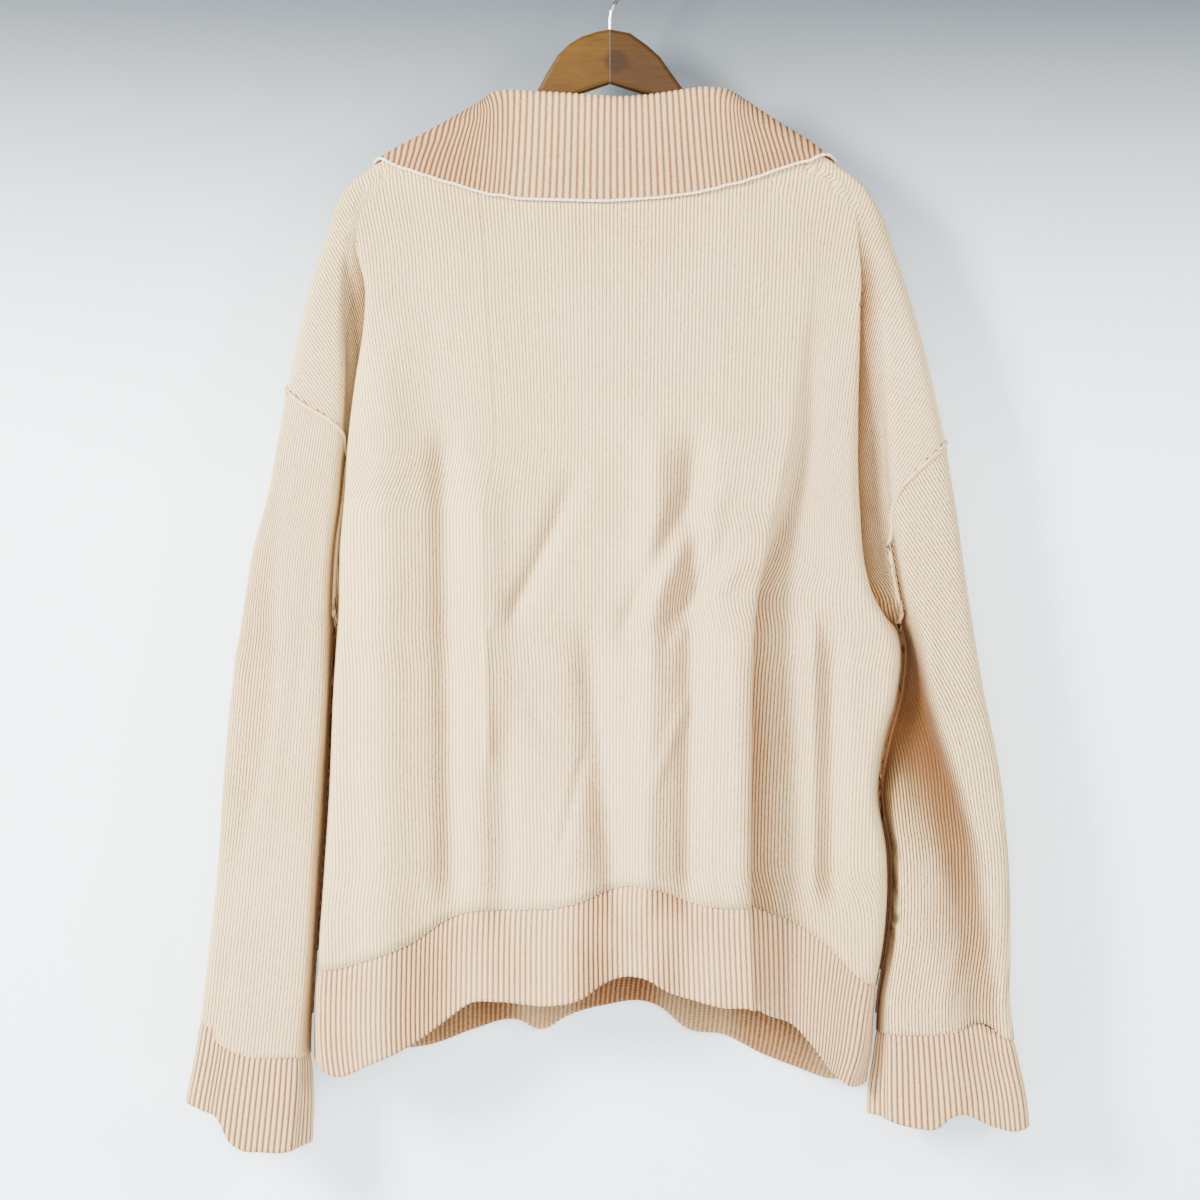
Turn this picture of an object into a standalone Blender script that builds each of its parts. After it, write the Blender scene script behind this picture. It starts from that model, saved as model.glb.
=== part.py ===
"""A knitted polo sweater with a rib collar, hung on a wooden coat hanger, seen from its back."""
import math

import bmesh
import bpy
import numpy as np

for thing in list(bpy.data.objects):
    bpy.data.objects.remove(thing)

# All sizes are millimetres; points become metres when a mesh is made.

MM = 0.001
WALL = 2.6
SEAM_GAP = 0.3
RIB_PITCH = 4.2
RIB_HEIGHT = 0.9
PANEL_WIDTH = 744.0
HALF_PANEL = PANEL_WIDTH / 2
ARMHOLE_TOP_LEFT = -349.0
ARMHOLE_TOP_RIGHT = -398.0
UNDERARM = -534.0
SIDE_CLEAR = 1.6


def table(names, *rows):
    """Rows of numbers under named columns, as arrays; the first column goes down the garment."""
    return dict(zip(names.split(), np.array(rows, float).T))


def read(rows, name, places):
    """One column of a table as a smooth curve over its first column, held level past the ends."""
    knots = list(rows.values())[0]
    values = rows[name]
    if knots[0] > knots[-1]:
        knots, values = knots[::-1], values[::-1]
    slopes = np.gradient(values, knots)
    places = np.clip(places, knots[0], knots[-1])
    spot = np.clip(np.searchsorted(knots, places) - 1, 0, len(knots) - 2)
    span = knots[spot + 1] - knots[spot]
    t = (places - knots[spot]) / span
    rise = t * t * (3 - 2 * t)
    return (
        (1 - rise) * values[spot]
        + rise * values[spot + 1]
        + t * (1 - t) ** 2 * span * slopes[spot]
        - t * t * (1 - t) * span * slopes[spot + 1]
    )


def ramp(value, start, end):
    """0 at start, 1 at end, eased both ways."""
    t = np.clip((value - start) / (end - start), 0, 1)
    return t * t * (3 - 2 * t)


def mix(one, other, share):
    return one + (other - one) * share


# The outline that the cloth hangs in, both sides, millimetres from the hook's seat.
# silhouette: the outer edge of shoulder and sleeve. sleeve_edge: the edge of the cap and the
# sleeve beside the body. body_edge: the edge of the body beside the sleeve.
LEFT = table(
    "z silhouette sleeve_edge body_edge",
    (-108, -82, -64, -56),
    (-124, -97, -80, -72),
    (-150, -142, -124, -116),
    (-173, -187, -169, -160),
    (-190, -209, -192, -184),
    (-208, -219, -203, -196),
    (-231, -226, -209, -202),
    (-274, -240, -211, -195),
    (-300, -246, -211, -196),
    (-349, -256, -210, -203),
    (-392, -264, -212, -208),
    (-440, -273, -216, -211),
    (-476, -283, -221, -214),
    (-530, -292, -224, -215),
    (-592, -301, -225, -219),
    (-672, -308, -230, -222),
    (-736, -312, -234, -226),
    (-808, -320, -238, -231),
    (-880, -329, -244, -231),
    (-916, -336, -246, -226),
    (-960, -342, -250, -224),
)
RIGHT = table(
    "z silhouette sleeve_edge body_edge",
    (-108, 76, 58, 50),
    (-120, 98, 80, 70),
    (-136, 121, 103, 95),
    (-173, 181, 163, 154),
    (-186, 199, 181, 172),
    (-205, 212, 198, 190),
    (-244, 227, 211, 198),
    (-303, 245, 216, 198),
    (-379, 263, 218, 197),
    (-440, 274, 222, 198),
    (-511, 284, 233, 207),
    (-556, 291, 241, 228),
    (-592, 297, 238, 226),
    (-636, 306, 228, 214),
    (-672, 312, 222, 210),
    (-720, 316, 228, 218),
    (-785, 318, 226, 217),
    (-842, 318, 218, 207),
    (-880, 323, 219, 201),
    (-913, 330, 219, 191),
    (-950, 334, 220, 190),
)
# How far each part of the cloth stands out from the middle plane, behind and in front.
DEPTH = table(
    "z cap_left face_left face_middle face_right cap_right front_cap front_face",
    (-108, 9, 9, 10, 9, 9, 9, 10),
    (-150, 10, 10, 11, 10, 10, 10, 11),
    (-190, 11, 12, 13, 12, 11, 11, 14),
    (-231, 15, 17, 19, 17, 15, 15, 19),
    (-300, 22, 24, 25, 24, 22, 21, 25),
    (-392, 27, 29, 29, 27, 26, 25, 29),
    (-476, 29, 33, 31, 30, 28, 27, 31),
    (-592, 30, 36, 34, 30, 29, 28, 33),
    (-720, 30, 38, 37, 30, 29, 28, 34),
    (-840, 30, 36, 36, 30, 29, 28, 33),
    (-960, 29, 34, 34, 30, 28, 28, 32),
)
# The long fold on the right of the back: a rounded edge that laps over a recess beside it.
LONG_FOLD = table(
    "z edge_x edge_out recess_x recess_out ridge_x ridge_out",
    (-108, 20, 0, 24, 0, 28, 0),
    (-136, 50, 0, 56, 0, 62, 0),
    (-190, 120, 0, 130, 0, 140, 0),
    (-244, 148, 0, 158, -1, 170, 0),
    (-320, 147, 2, 160, -4, 174, 1),
    (-400, 139, 4, 155, -9, 176, 1),
    (-470, 124, 5, 143, -13, 183, 1),
    (-520, 114, 7, 133, -16, 186, 1),
    (-600, 110, 8, 130, -19, 195, 1),
    (-680, 109, 9, 133, -21, 194, 0),
    (-765, 109, 9, 137, -21, 196, 2),
    (-850, 112, 8, 139, -18, 184, 3),
    (-960, 112, 8, 139, -16, 172, 3),
)


# Soft creases on the back, outside face: a line from start to end, how wide and how high it is.
BACK_FOLDS = table(
    "start_x start_z end_x end_z width height",
    (-180, -330, -176, -890, 30, 5.0),
    (-131, -400, -124, -750, 15, -6.5),
    (-124, -800, -121, -900, 26, -3.0),
    (-100, -440, -92, -640, 18, 3.5),
    (-84, -620, -84, -760, 15, -3.5),
    (-30, -690, -30, -900, 28, 4.5),
    (-16, -560, 4, -750, 17, -7.0),
    (6, -800, 12, -900, 26, -4.0),
    (36, -400, 28, -750, 16, 5.0),
    (67, -400, 62, -750, 14, -7.0),
    (60, -800, 46, -900, 26, -4.5),
    (100, -560, 102, -750, 15, 3.5),
    (160, -540, 160, -750, 9, 4.5),
    (177, -560, 177, -750, 10, -4.0),
    (-30, -430, -76, -530, 12, -3.5),
    (60, -440, 12, -540, 10, -4.0),
    (92, -470, 40, -560, 9, -3.5),
    (84, -440, 34, -520, 11, 3.5),
)
FRONT_FOLDS = table(
    "start_x start_z end_x end_z width height",
    (-150, -320, -160, -880, 44, 6.0),
    (-90, -420, -70, -880, 30, -6.0),
    (-20, -460, -30, -880, 36, 6.0),
    (50, -400, 40, -880, 32, -7.0),
    (110, -380, 100, -880, 34, 7.0),
    (170, -420, 165, -880, 30, -5.0),
)


# Where the back of a sleeve sinks in: left of line_x, by deep; fill is how far it comes out again.
RIGHT_RECESS = table(
    "z line_x deep fill",
    (-500, 240, 0, 0), (-530, 244, 4, 0), (-556, 249, 14, 0), (-590, 256, 19, 0), (-622, 265, 20, 0),
    (-646, 273, 19, 0.1), (-681, 284, 17, 0.4), (-720, 294, 15, 0.7), (-771, 301, 12, 0.85),
    (-820, 307, 9, 0.9), (-864, 312, 7, 0.9), (-960, 320, 5, 0.9),
)
LEFT_RECESS = table(
    "z line_x deep fill",
    (-390, -244, 0, 0), (-440, -256, 4, 0), (-500, -260, 6, 0), (-600, -262, 6, 0), (-680, -276, 5, 0),
    (-740, -292, 2, 0), (-800, -305, 0, 0),
)


def folds_at(folds, x, z):
    """The height of all the soft folds of a table at these places."""
    height = np.zeros(np.shape(x))
    for row in range(len(folds["width"])):
        start = np.array([folds["start_x"][row], folds["start_z"][row]])
        run = np.array([folds["end_x"][row], folds["end_z"][row]]) - start
        length = np.hypot(*run)
        along = ((x - start[0]) * run[0] + (z - start[1]) * run[1]) / length
        across = ((x - start[0]) * run[1] - (z - start[1]) * run[0]) / length
        width = folds["width"][row]
        fade = ramp(along, -2.2 * width, 1.4 * width)
        fade = fade * ramp(along, length + 2.2 * width, length - 1.4 * width)
        height = height + folds["height"][row] * fade * np.exp(-((across / width) ** 2) * 1.6)
    return height


def side_points(outline, z, inward, cap, face, middle_gap):
    """Corners of one side of a section, as place, x, y: outer edge, sleeve, valley, the body's edge."""
    outer = read(outline, "silhouette", z)
    sleeve = read(outline, "sleeve_edge", z)
    body = read(outline, "body_edge", z)
    valley = ramp(z, -214, -290) if inward > 0 else ramp(z, -250, -420)
    apart = ramp(z, UNDERARM + 6, UNDERARM - 10)
    floor = mix(middle_gap, 0.2, apart)
    width = abs(sleeve - outer)
    middle = (sleeve + body) / 2
    ridge = mix(cap, face, 0.5)
    low = mix(ridge, floor, valley)
    rim = mix(ridge, floor + 5, valley)
    sleeve_low = mix(sleeve + inward * 3, middle - inward * SIDE_CLEAR, apart)
    sleeve_rim = mix(sleeve, middle - inward * (SIDE_CLEAR + 0.8), apart)
    body_low = mix(body + inward * 7 * valley, middle + inward * SIDE_CLEAR, apart)
    body_rim = mix(body + inward * 2 * valley, middle + inward * (SIDE_CLEAR + 0.8), apart)
    return [
        (0.0, outer, 0 * z),
        (0.08, outer, 0.72 * cap),
        (0.3, outer + inward * mix(0.3 * width, 8, ramp(z, -200, -240)), cap),
        (0.65, mix(outer, sleeve, 0.62), cap),
        (0.9, sleeve - inward * 2.5, mix(ridge, cap * 0.93, valley)),
        (1.1, sleeve, mix(ridge, cap * 0.6, valley)),
        (1.3, sleeve_rim, rim),
        (1.5, sleeve_low, low),
        (2.0, body_low, low),
        (2.2, body_rim, rim),
        (2.5, body, mix(face, face * 0.62, valley)),
        (2.75, body + inward * 3.0, mix(face, face * 0.93, valley)),
        (3.0, body + inward * 13.0, face),
    ]


def back_points(z):
    """Corners of the back's section at the heights z, from the left edge to the right."""
    depth = {name: read(DEPTH, name, z) for name in DEPTH if name != "z"}
    left = side_points(LEFT, z, 1, depth["cap_left"], depth["face_left"], 6.0)
    right = side_points(RIGHT, z, -1, depth["cap_right"], depth["face_right"], 9.0)
    fold = {name: read(LONG_FOLD, name, z) for name in LONG_FOLD if name != "z"}
    base = depth["face_middle"]
    sharp = ramp(z, -430, -540)
    start = left[-1][1]
    crest = base + fold["edge_out"]
    dip = base + fold["recess_out"]
    middle = [
        (3.6, mix(start, fold["edge_x"], 0.3), mix(depth["face_left"], base, 0.5)),
        (4.2, mix(start, fold["edge_x"], 0.6), base),
        (4.8, fold["edge_x"] - 30, mix(base, crest, 0.7)),
        (5.2, fold["edge_x"] - 7, crest),
        (5.4, fold["edge_x"] + 1.5 * sharp, crest),
        (5.6, fold["edge_x"] + mix(6, 2, sharp), mix(crest, dip, mix(0.35, 0.5, sharp))),
        (5.8, fold["edge_x"] + mix(10, -3, sharp), mix(crest, dip, mix(0.8, 0.85, sharp))),
        (6.0, fold["recess_x"] - mix(0, 11, sharp), dip),
        (6.3, fold["recess_x"] + 5, dip),
        (6.6, mix(fold["recess_x"], fold["ridge_x"], 0.6), mix(dip, depth["face_right"], 0.55)),
    ]
    mirrored = [(10 - place, x, y) for place, x, y in reversed(right)]
    points = left + middle + mirrored
    return np.array([[place + 0 * z, x, -y] for place, x, y in points])


def front_points(z):
    """Corners of the front's section at the heights z, from the left edge to the right."""
    depth = {name: read(DEPTH, name, z) for name in DEPTH if name != "z"}
    left = side_points(LEFT, z, 1, depth["front_cap"], depth["front_face"], 6.0)
    right = side_points(RIGHT, z, -1, depth["front_cap"], depth["front_face"], 6.0)
    start = left[-1][1]
    end = right[-1][1]
    face = depth["front_face"]
    middle = [(3 + 4 * share, mix(start, end, share), face) for share in (0.25, 0.5, 0.75)]
    mirrored = [(10 - place, x, y) for place, x, y in reversed(right)]
    points = left + middle + mirrored
    return np.array([[place + 0 * z, x, y] for place, x, y in points])


def rounded(points, rounds=5):
    """Corners cut again and again, so that the line through them becomes a soft curve."""
    for _ in range(rounds):
        early = 0.75 * points[:-1] + 0.25 * points[1:]
        late = 0.25 * points[:-1] + 0.75 * points[1:]
        cut = np.empty((2 * len(early),) + points.shape[1:])
        cut[0::2] = early
        cut[1::2] = late
        points = np.concatenate([points[:1], cut, points[-1:]])
    return points


PLACES = np.unique(np.concatenate([
    np.linspace(0, 0.1, 9), np.linspace(0.1, 3, 90), np.linspace(3, 7, 241),
    np.linspace(7, 9.9, 90), np.linspace(9.9, 10, 9), [1.5, 2, 8, 8.5]]))
LEVELS = np.arange(-108.0, -962.0, -3.0)


def make_form(section, folds, outward):
    """One side of the garment as a table of points and outward directions over height and place."""
    dense = rounded(section(LEVELS))
    form = np.empty((len(LEVELS), len(PLACES), 3))
    reach = np.empty((len(LEVELS), len(PLACES)))
    for row, z in enumerate(LEVELS):
        place, x, y = dense[:, :, row].T
        form[row, :, 0] = np.interp(PLACES, place, x)
        form[row, :, 1] = np.interp(PLACES, place, y)
        form[row, :, 2] = z
    on_face = ramp(PLACES, 2.4, 3.2) * ramp(PLACES, 7.6, 6.8)
    form[:, :, 1] += outward * on_face * folds_at(folds, form[:, :, 0], form[:, :, 2])
    if outward < 0:
        z = form[:, :, 2]
        for arm, rows in ((PLACES >= 8.5, RIGHT_RECESS), (PLACES <= 1.5, LEFT_RECESS)):
            past = read(rows, "line_x", z) - form[:, :, 0]
            sunk = read(rows, "deep", z) * ramp(past, -3, 12) * (1 - read(rows, "fill", z) * ramp(past, 20, 48))
            form[:, :, 1] += arm * sunk * np.clip(-form[:, :, 1] / 24, 0, 1)
    step = np.diff(form[:, :, :2], axis=1)
    arc = np.zeros((len(LEVELS), len(PLACES)))
    arc[:, 1:] = np.cumsum(np.hypot(step[:, :, 0], step[:, :, 1]), 1)
    for row in range(len(LEVELS)):
        middle = (PLACES > 3) & (PLACES < 5.1)
        reach[row] = arc[row] - np.interp(0, form[row, middle, 0], arc[row, middle])
    down = np.gradient(form, axis=0)
    across = np.gradient(form, axis=1)
    parts = np.gradient(form, axis=1)
    cuts = [0, *np.searchsorted(PLACES, [1.5, 2, 8, 8.5]), len(PLACES) - 1]
    for start, end in ((cuts[0], cuts[1]), (cuts[2], cuts[3]), (cuts[4], cuts[5])):
        parts[:, start:end + 1] = np.gradient(form[:, start:end + 1], axis=1)
    apart = LEVELS < UNDERARM - 3
    across[apart] = parts[apart]
    normal = np.cross(across, down) * outward
    normal /= np.linalg.norm(normal, axis=2, keepdims=True) + 1e-12
    return {"points": form, "normals": normal, "reach": reach, "outward": outward}


def at(form, place, z, out=0.0):
    """Points of a form at these places and heights, moved out along the surface's own direction."""
    row = np.clip((LEVELS[0] - z) / 3.0, 0, len(LEVELS) - 1.001)
    column = np.clip(np.searchsorted(PLACES, place, side="right") - 1, 0, len(PLACES) - 2)
    v = row - np.floor(row)
    row = np.floor(row).astype(int)
    u = (place - PLACES[column]) / (PLACES[column + 1] - PLACES[column])
    found = []
    for grid in (form["points"], form["normals"]):
        top = mix(grid[row, column], grid[row, column + 1], u[..., None])
        low = mix(grid[row + 1, column], grid[row + 1, column + 1], u[..., None])
        found.append(mix(top, low, v[..., None]))
    points, normals = found
    normals = normals / (np.linalg.norm(normals, axis=-1, keepdims=True) + 1e-12)
    return points + normals * np.asarray(out)[..., None] * np.ones(points.shape)




# Armhole seams on the back: the place on the section where each one lies, down the garment.
ARMHOLE = {
    "left": table(
        "z place",
        (-348.9, 0), (-354, 0.12), (-366, 0.45), (-378, 0.78), (-388, 1.0), (-398, 1.3), (-405, 1.5),
    ),
    "right": table(
        "z place",
        (-392.9, 0), (-399, 0.18), (-406, 0.36), (-416, 0.56), (-428, 0.76), (-440, 0.9), (-452, 1.05),
        (-474, 1.5),
    ),
}
# Lower edges by place across: where the rib begins and where it ends.
HEM_BACK = table(
    "x seam bottom",
    (-233, -812, -886), (-218, -811, -895), (-190, -803, -886), (-152, -788, -867), (-126, -771, -848),
    (-112, -766, -838), (-87, -764, -836), (-50, -763, -839), (-22, -757, -833), (-6, -750, -822),
    (14, -745, -816), (30, -746, -819), (45, -750, -828), (64, -758, -834), (90, -762, -840),
    (110, -762, -841), (125, -768, -849), (147, -776, -858), (160, -784, -872), (178, -798, -895),
    (194, -818, -906), (214, -828, -900),
)
HEM_FRONT = table(
    "x seam bottom",
    (-233, -812, -886), (-215, -813, -896), (-190, -808, -888), (-141, -800, -880), (-110, -790, -868),
    (-74, -782, -860), (-57, -786, -868), (-34, -780, -858), (-8, -772, -850), (42, -772, -850),
    (60, -784, -866), (94, -790, -874), (123, -800, -888), (150, -808, -898), (180, -820, -908), (214, -828, -902),
)
CUFF = {
    "left": table("x start end", (-345, -851, -915), (-322, -853, -923), (-309, -857, -931), (-302, -866, -946),
                  (-294, -871, -953), (-275, -878, -956), (-260, -881, -957), (-240, -882, -953)),
    "right": table("x start end", (214, -864, -930), (226, -864, -934), (245, -862, -938), (258, -860, -938),
                   (270, -856, -929), (280, -855, -927), (292, -858, -932), (306, -866, -938), (318, -869, -940), (336, -872, -936)),
}
NECK_SIDE = {"left": -107.0, "right": 107.0}
BACK_NECK_DROP = 20.0
V_NECK_DEPTH = -312.0


def pull_in(grid, guide, edges, gap=SEAM_GAP / 2):
    """Edge rows and columns drawn back from the seam, square to it, into the piece."""
    grid = grid.copy()
    moves = {
        "top": ((0, slice(None)), guide[1] - guide[0]),
        "bottom": ((-1, slice(None)), guide[-2] - guide[-1]),
        "start": ((slice(None), 0), guide[:, 1] - guide[:, 0]),
        "end": ((slice(None), -1), guide[:, -2] - guide[:, -1]),
    }
    for edge in edges.split():
        where, inward = moves[edge]
        seam = np.gradient(guide[where], axis=0)
        seam /= np.linalg.norm(seam, axis=-1, keepdims=True) + 1e-12
        square = inward - seam * np.sum(inward * seam, axis=-1, keepdims=True)
        grid[where] += gap * square / (np.linalg.norm(square, axis=-1, keepdims=True) + 1e-12)
    return grid


def strip_between(one, one_places, other, other_places):
    """Triangles between two rows of point numbers, walked along both by their places."""
    faces = []
    i = j = 0
    while i < len(one) - 1 or j < len(other) - 1:
        next_one = one_places[i + 1] if i < len(one) - 1 else 9
        next_other = other_places[j + 1] if j < len(other) - 1 else 9
        if next_one <= next_other:
            faces.append((int(one[i]), int(one[i + 1]), int(other[j])))
            i += 1
        else:
            faces.append((int(one[i]), int(other[j + 1]), int(other[j])))
            j += 1
    return faces


def grid_faces(numbers):
    """Four-sided faces of a grid of point numbers."""
    corners = zip(numbers[:-1, :-1].flat, numbers[:-1, 1:].flat, numbers[1:, 1:].flat, numbers[1:, :-1].flat)
    return [tuple(int(n) for n in face) for face in corners]


def wall_mesh(name, outer, inner, outer_places=None, inner_places=None):
    """A closed wall between an outer and an inner grid, which may have different numbers of points."""
    if outer_places is None:
        outer_places = inner_places = np.linspace(0, 1, outer.shape[1])
    down = np.linspace(0, 1, outer.shape[0])
    first = np.arange(outer[..., 0].size).reshape(outer.shape[:2])
    second = np.arange(inner[..., 0].size).reshape(inner.shape[:2]) + first.size
    faces = grid_faces(first) + grid_faces(second)
    faces += strip_between(first[0], outer_places, second[0], inner_places)
    faces += strip_between(first[-1], outer_places, second[-1], inner_places)
    faces += strip_between(first[:, 0], down, second[:, 0], down)
    faces += strip_between(first[:, -1], down, second[:, -1], down)
    mesh = bpy.data.meshes.new(name)
    points = np.concatenate([outer.reshape(-1, 3), inner.reshape(-1, 3)]) * MM
    mesh.from_pydata(points.tolist(), [], faces)
    return mesh


# The heights of a panel's rows at its two side edges. The rows from the shoulder's end to the
# lowest of these meet the corners of the sleeve, so that both pieces share one seam line.
PANEL_ROWS = table(
    "left right",
    (-130, -130), (-160, -160), (-188, -186), (-207, -205), (-240, -250), (-296, -326),
    (-348.9, -392.9), (-354, -399), (-366, -406), (-378, -416), (-388, -428), (-398, -440),
    (-405, -452), (-430, -474), (-480, -502), (-529, -529), (-548, -560), (-606, -612),
    (-676, -684), (-745, -752),
)
BACK_FACE = np.array([3.35, 3.8, 4.2, 4.55, 4.85, 5.08, 5.28, 5.4, 5.5, 5.62, 5.76, 5.92, 6.15, 6.5, 6.8])
FRONT_FACE = np.array([3.35, 3.8, 4.2, 4.6, 5.0, 5.4, 5.8, 6.2, 6.65])
SIDE_SHARES = np.array([0, 0.03, 0.11, 0.26, 0.36, 0.5, 0.66, 0.82, 1.0])
SLEEVE_SHARES = np.array([1, 0.93, 0.86, 0.78, 0.7, 0.6, 0.5, 0.4, 0.3, 0.2, 0.12, 0.06, 0.025, 0])
# Heights of the sleeves' rows at the underarm edge, down to the cuff.
SLEEVE_ROWS = {"left": (-405, -480, -529, -548, -640, -740, -830), "right": (-474, -502, -529, -560, -640, -740, -830)}


def panel_edge(side, z):
    """Place where a body panel starts: the shoulder's edge, the armhole seam, the side seam."""
    rows = ARMHOLE[side]
    armhole = np.interp(-z, -rows["z"], rows["place"])
    return mix(armhole, 2.0, ramp(z, UNDERARM + 4, UNDERARM - (12 if side == "left" else 22)))


def sleeve_edge(side, z):
    """Place where the sleeve ends beside the body: the armhole seam, then the underarm seam."""
    last = ARMHOLE[side]["place"][-1]
    return mix(last, 1.5, ramp(z, UNDERARM + 4, UNDERARM - 12))


def crossing(form, places, line, low, high):
    """The height at which each place meets a line that gives a height for every x."""
    places = np.asarray(places, float)
    top = np.full(places.shape, high, float)
    bottom = np.full(places.shape, low, float)
    for _ in range(30):
        middle = (top + bottom) / 2
        above = middle > line(at(form, places, middle)[..., 0])
        top = np.where(above, middle, top)
        bottom = np.where(above, bottom, middle)
    return (top + bottom) / 2


def back_neckline(x):
    return -130.0 - BACK_NECK_DROP * np.sqrt(np.clip(1 - (x / NECK_SIDE["right"]) ** 2, 0, 1))


def front_neckline(x):
    return mix(V_NECK_DEPTH, -130.0, np.clip(abs(x) / NECK_SIDE["right"], 0, 1) ** 1.25)


def hem_seam(rows):
    return lambda x: read(rows, "seam", x)


def panel_grid(form, face, neckline, hem):
    """Places and heights of a panel's grid, from the left edge to the right, from neck to hem."""
    count = len(SIDE_SHARES)
    left_start = np.array([mix(0, 3.0, SIDE_SHARES), mix(2.0, 3.0, SIDE_SHARES)])
    top_places = np.concatenate([left_start[0], face, 10 - left_start[0][::-1]])
    low_places = np.concatenate([left_start[1], face, 10 - left_start[1][::-1]])
    top = crossing(form, top_places, neckline, -330, -112)
    top[[0, -1]] = -130.0
    low = crossing(form, low_places, hem_seam(hem), -880, -720)
    across = np.linspace(0, 1, len(top))
    shares = []
    for side, end in (("left", 0), ("right", -1)):
        heights = np.append(PANEL_ROWS[side], low[end])
        shares.append((heights - top[end]) / (low[end] - top[end]))
    share = mix(shares[0][:, None], shares[1][:, None], across)
    z = mix(top, low, share)
    left = panel_edge("left", z[:, :count])
    right = panel_edge("right", z[:, -count:])
    places = np.broadcast_to(top_places, z.shape).copy()
    places[:, :count] = mix(left, 3.0, SIDE_SHARES)
    places[:, -count:] = 10 - mix(right, 3.0, SIDE_SHARES[::-1])
    return places, z


def keep_side(points, outward):
    """Points held on their own side of the middle plane."""
    points = points.copy()
    points[..., 1] = outward * np.maximum(points[..., 1] * outward, SEAM_GAP / 2)
    return points


def panel_wall(name, form, face, neckline, hem):
    places, z = panel_grid(form, face, neckline, hem)
    walls = [at(form, places, z, depth) for depth in (0.0, -WALL)]
    guide = walls[0]
    walls = [pull_in(points, guide, "top bottom start end") for points in walls]
    walls = [keep_side(points, form["outward"]) for points in walls]
    outer, inner = walls if form["outward"] > 0 else [points[:, ::-1] for points in walls]
    return wall_mesh(name, outer, inner), places[-1], walls


def sleeve_grid(side, form):
    """Outer and inner points of one half of a sleeve, from its underarm edge to the shoulder line."""
    def own(place):
        return place if side == "left" else 10 - place

    rows = ARMHOLE[side]
    last = rows["place"][-1]
    places = SLEEVE_SHARES * last
    top = np.interp(places, rows["place"], rows["z"])
    low = crossing(form, own(SLEEVE_SHARES * 1.5), lambda x: read(CUFF[side], "start", x), -900, -820)
    low[-1] = read(CUFF[side], "start", at(form, own(np.array(0.0)), np.array(-860.0))[0])
    heights = np.append(SLEEVE_ROWS[side], low[0])
    share = (heights - heights[0]) / (heights[-1] - heights[0])
    z = mix(top, low, share[:, None])
    place = own(SLEEVE_SHARES * sleeve_edge(side, z))
    walls = []
    for depth in (0.0, -WALL):
        points = at(form, place, z, depth)
        corners = at(form, own(rows["place"]), rows["z"], depth)
        for axis in range(3):
            points[0, :, axis] = np.interp(places, rows["place"], corners[:, axis])
        walls.append(points)
    return walls, place, z


def sleeve_wall(name, side, back, front):
    """The sleeve as one wall, from the underarm seam round the back to the front."""
    behind, place, z = sleeve_grid(side, back)
    before, _, _ = sleeve_grid(side, front)
    walls = []
    for one, other in zip(behind, before):
        one = keep_side(pull_in(one, one, "start", 2 * SEAM_GAP), -1)
        other = keep_side(pull_in(other, other, "start", 2 * SEAM_GAP), 1)
        one[:, -1, 1] = 0
        around = np.concatenate([one, other[:, -2::-1]], axis=1)
        walls.append(pull_in(pull_in(around, around, "top", 3 * SEAM_GAP), around, "bottom"))
    return wall_mesh(name, *walls), walls


def along(points):
    """Length along a row of points, from its first."""
    return np.concatenate([[0], np.cumsum(np.linalg.norm(np.diff(points, axis=0), axis=1))])


def between(points, lengths, wanted):
    """Points on the straight lines between a row of points."""
    return np.stack([np.interp(wanted, lengths, points[:, axis]) for axis in range(3)], axis=-1)


def halved(places):
    """The same places with one more halfway between each two."""
    return np.interp(np.arange(0, len(places) - 0.75, 0.5), np.arange(len(places)), places)


def rib_wall(name, edge, wall_edge, lower, rows, inside):
    """A ribbed wall that hangs from the lower edge of another: crests and valleys outside, plain inside.

    edge and wall_edge are the outer and inner rows of points that it hangs from; lower gives the
    outer and inner points for a share of the height and a share of the way along the edge; inside
    is where along the edge the plain inner face has its points.
    """
    lengths = along(edge)
    ribs = int(round(lengths[-1] / RIB_PITCH))
    steps = np.linspace(0, 1, 2 * ribs + 1)
    crest = np.where(np.arange(len(steps)) % 2 == 1, RIB_HEIGHT, 0.0)
    coarse = inside / lengths[-1]
    drop = np.array([0, 0, -3.5 * SEAM_GAP])
    outer = [between(edge, lengths, steps * lengths[-1]) + drop]
    for share in rows:
        outer.append(lower(share, steps, crest))
    inner = [between(wall_edge, lengths, coarse * lengths[-1]) + drop]
    inner += [lower(share, coarse, coarse * 0 - WALL) for share in rows]
    outer[0] += unit(outer[1] - lower(rows[0], steps, crest - 1)) * (crest * 0.7)[:, None]
    return wall_mesh(name, np.array(outer), np.array(inner), steps, coarse)


def unit(vectors):
    return vectors / (np.linalg.norm(vectors, axis=-1, keepdims=True) + 1e-12)


def hem_rib(name, form, hem, places, walls, rows):
    """The rib under one body panel."""
    edge, wall_edge = walls[0][-1], walls[1][-1]
    lengths = along(edge)
    seam = crossing(form, places, lambda x: read(hem, "seam", x), -880, -720)
    bottom = crossing(form, places, lambda x: read(hem, "bottom", x), -940, -800)

    def lower(share, steps, out):
        place = np.interp(steps * lengths[-1], lengths, places)
        top = np.interp(steps * lengths[-1], lengths, seam)
        low = np.interp(steps * lengths[-1], lengths, bottom)
        return keep_side(at(form, place, mix(top, low, share), out), form["outward"])

    return rib_wall(name, edge, wall_edge, lower, rows, halved(lengths))


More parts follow.
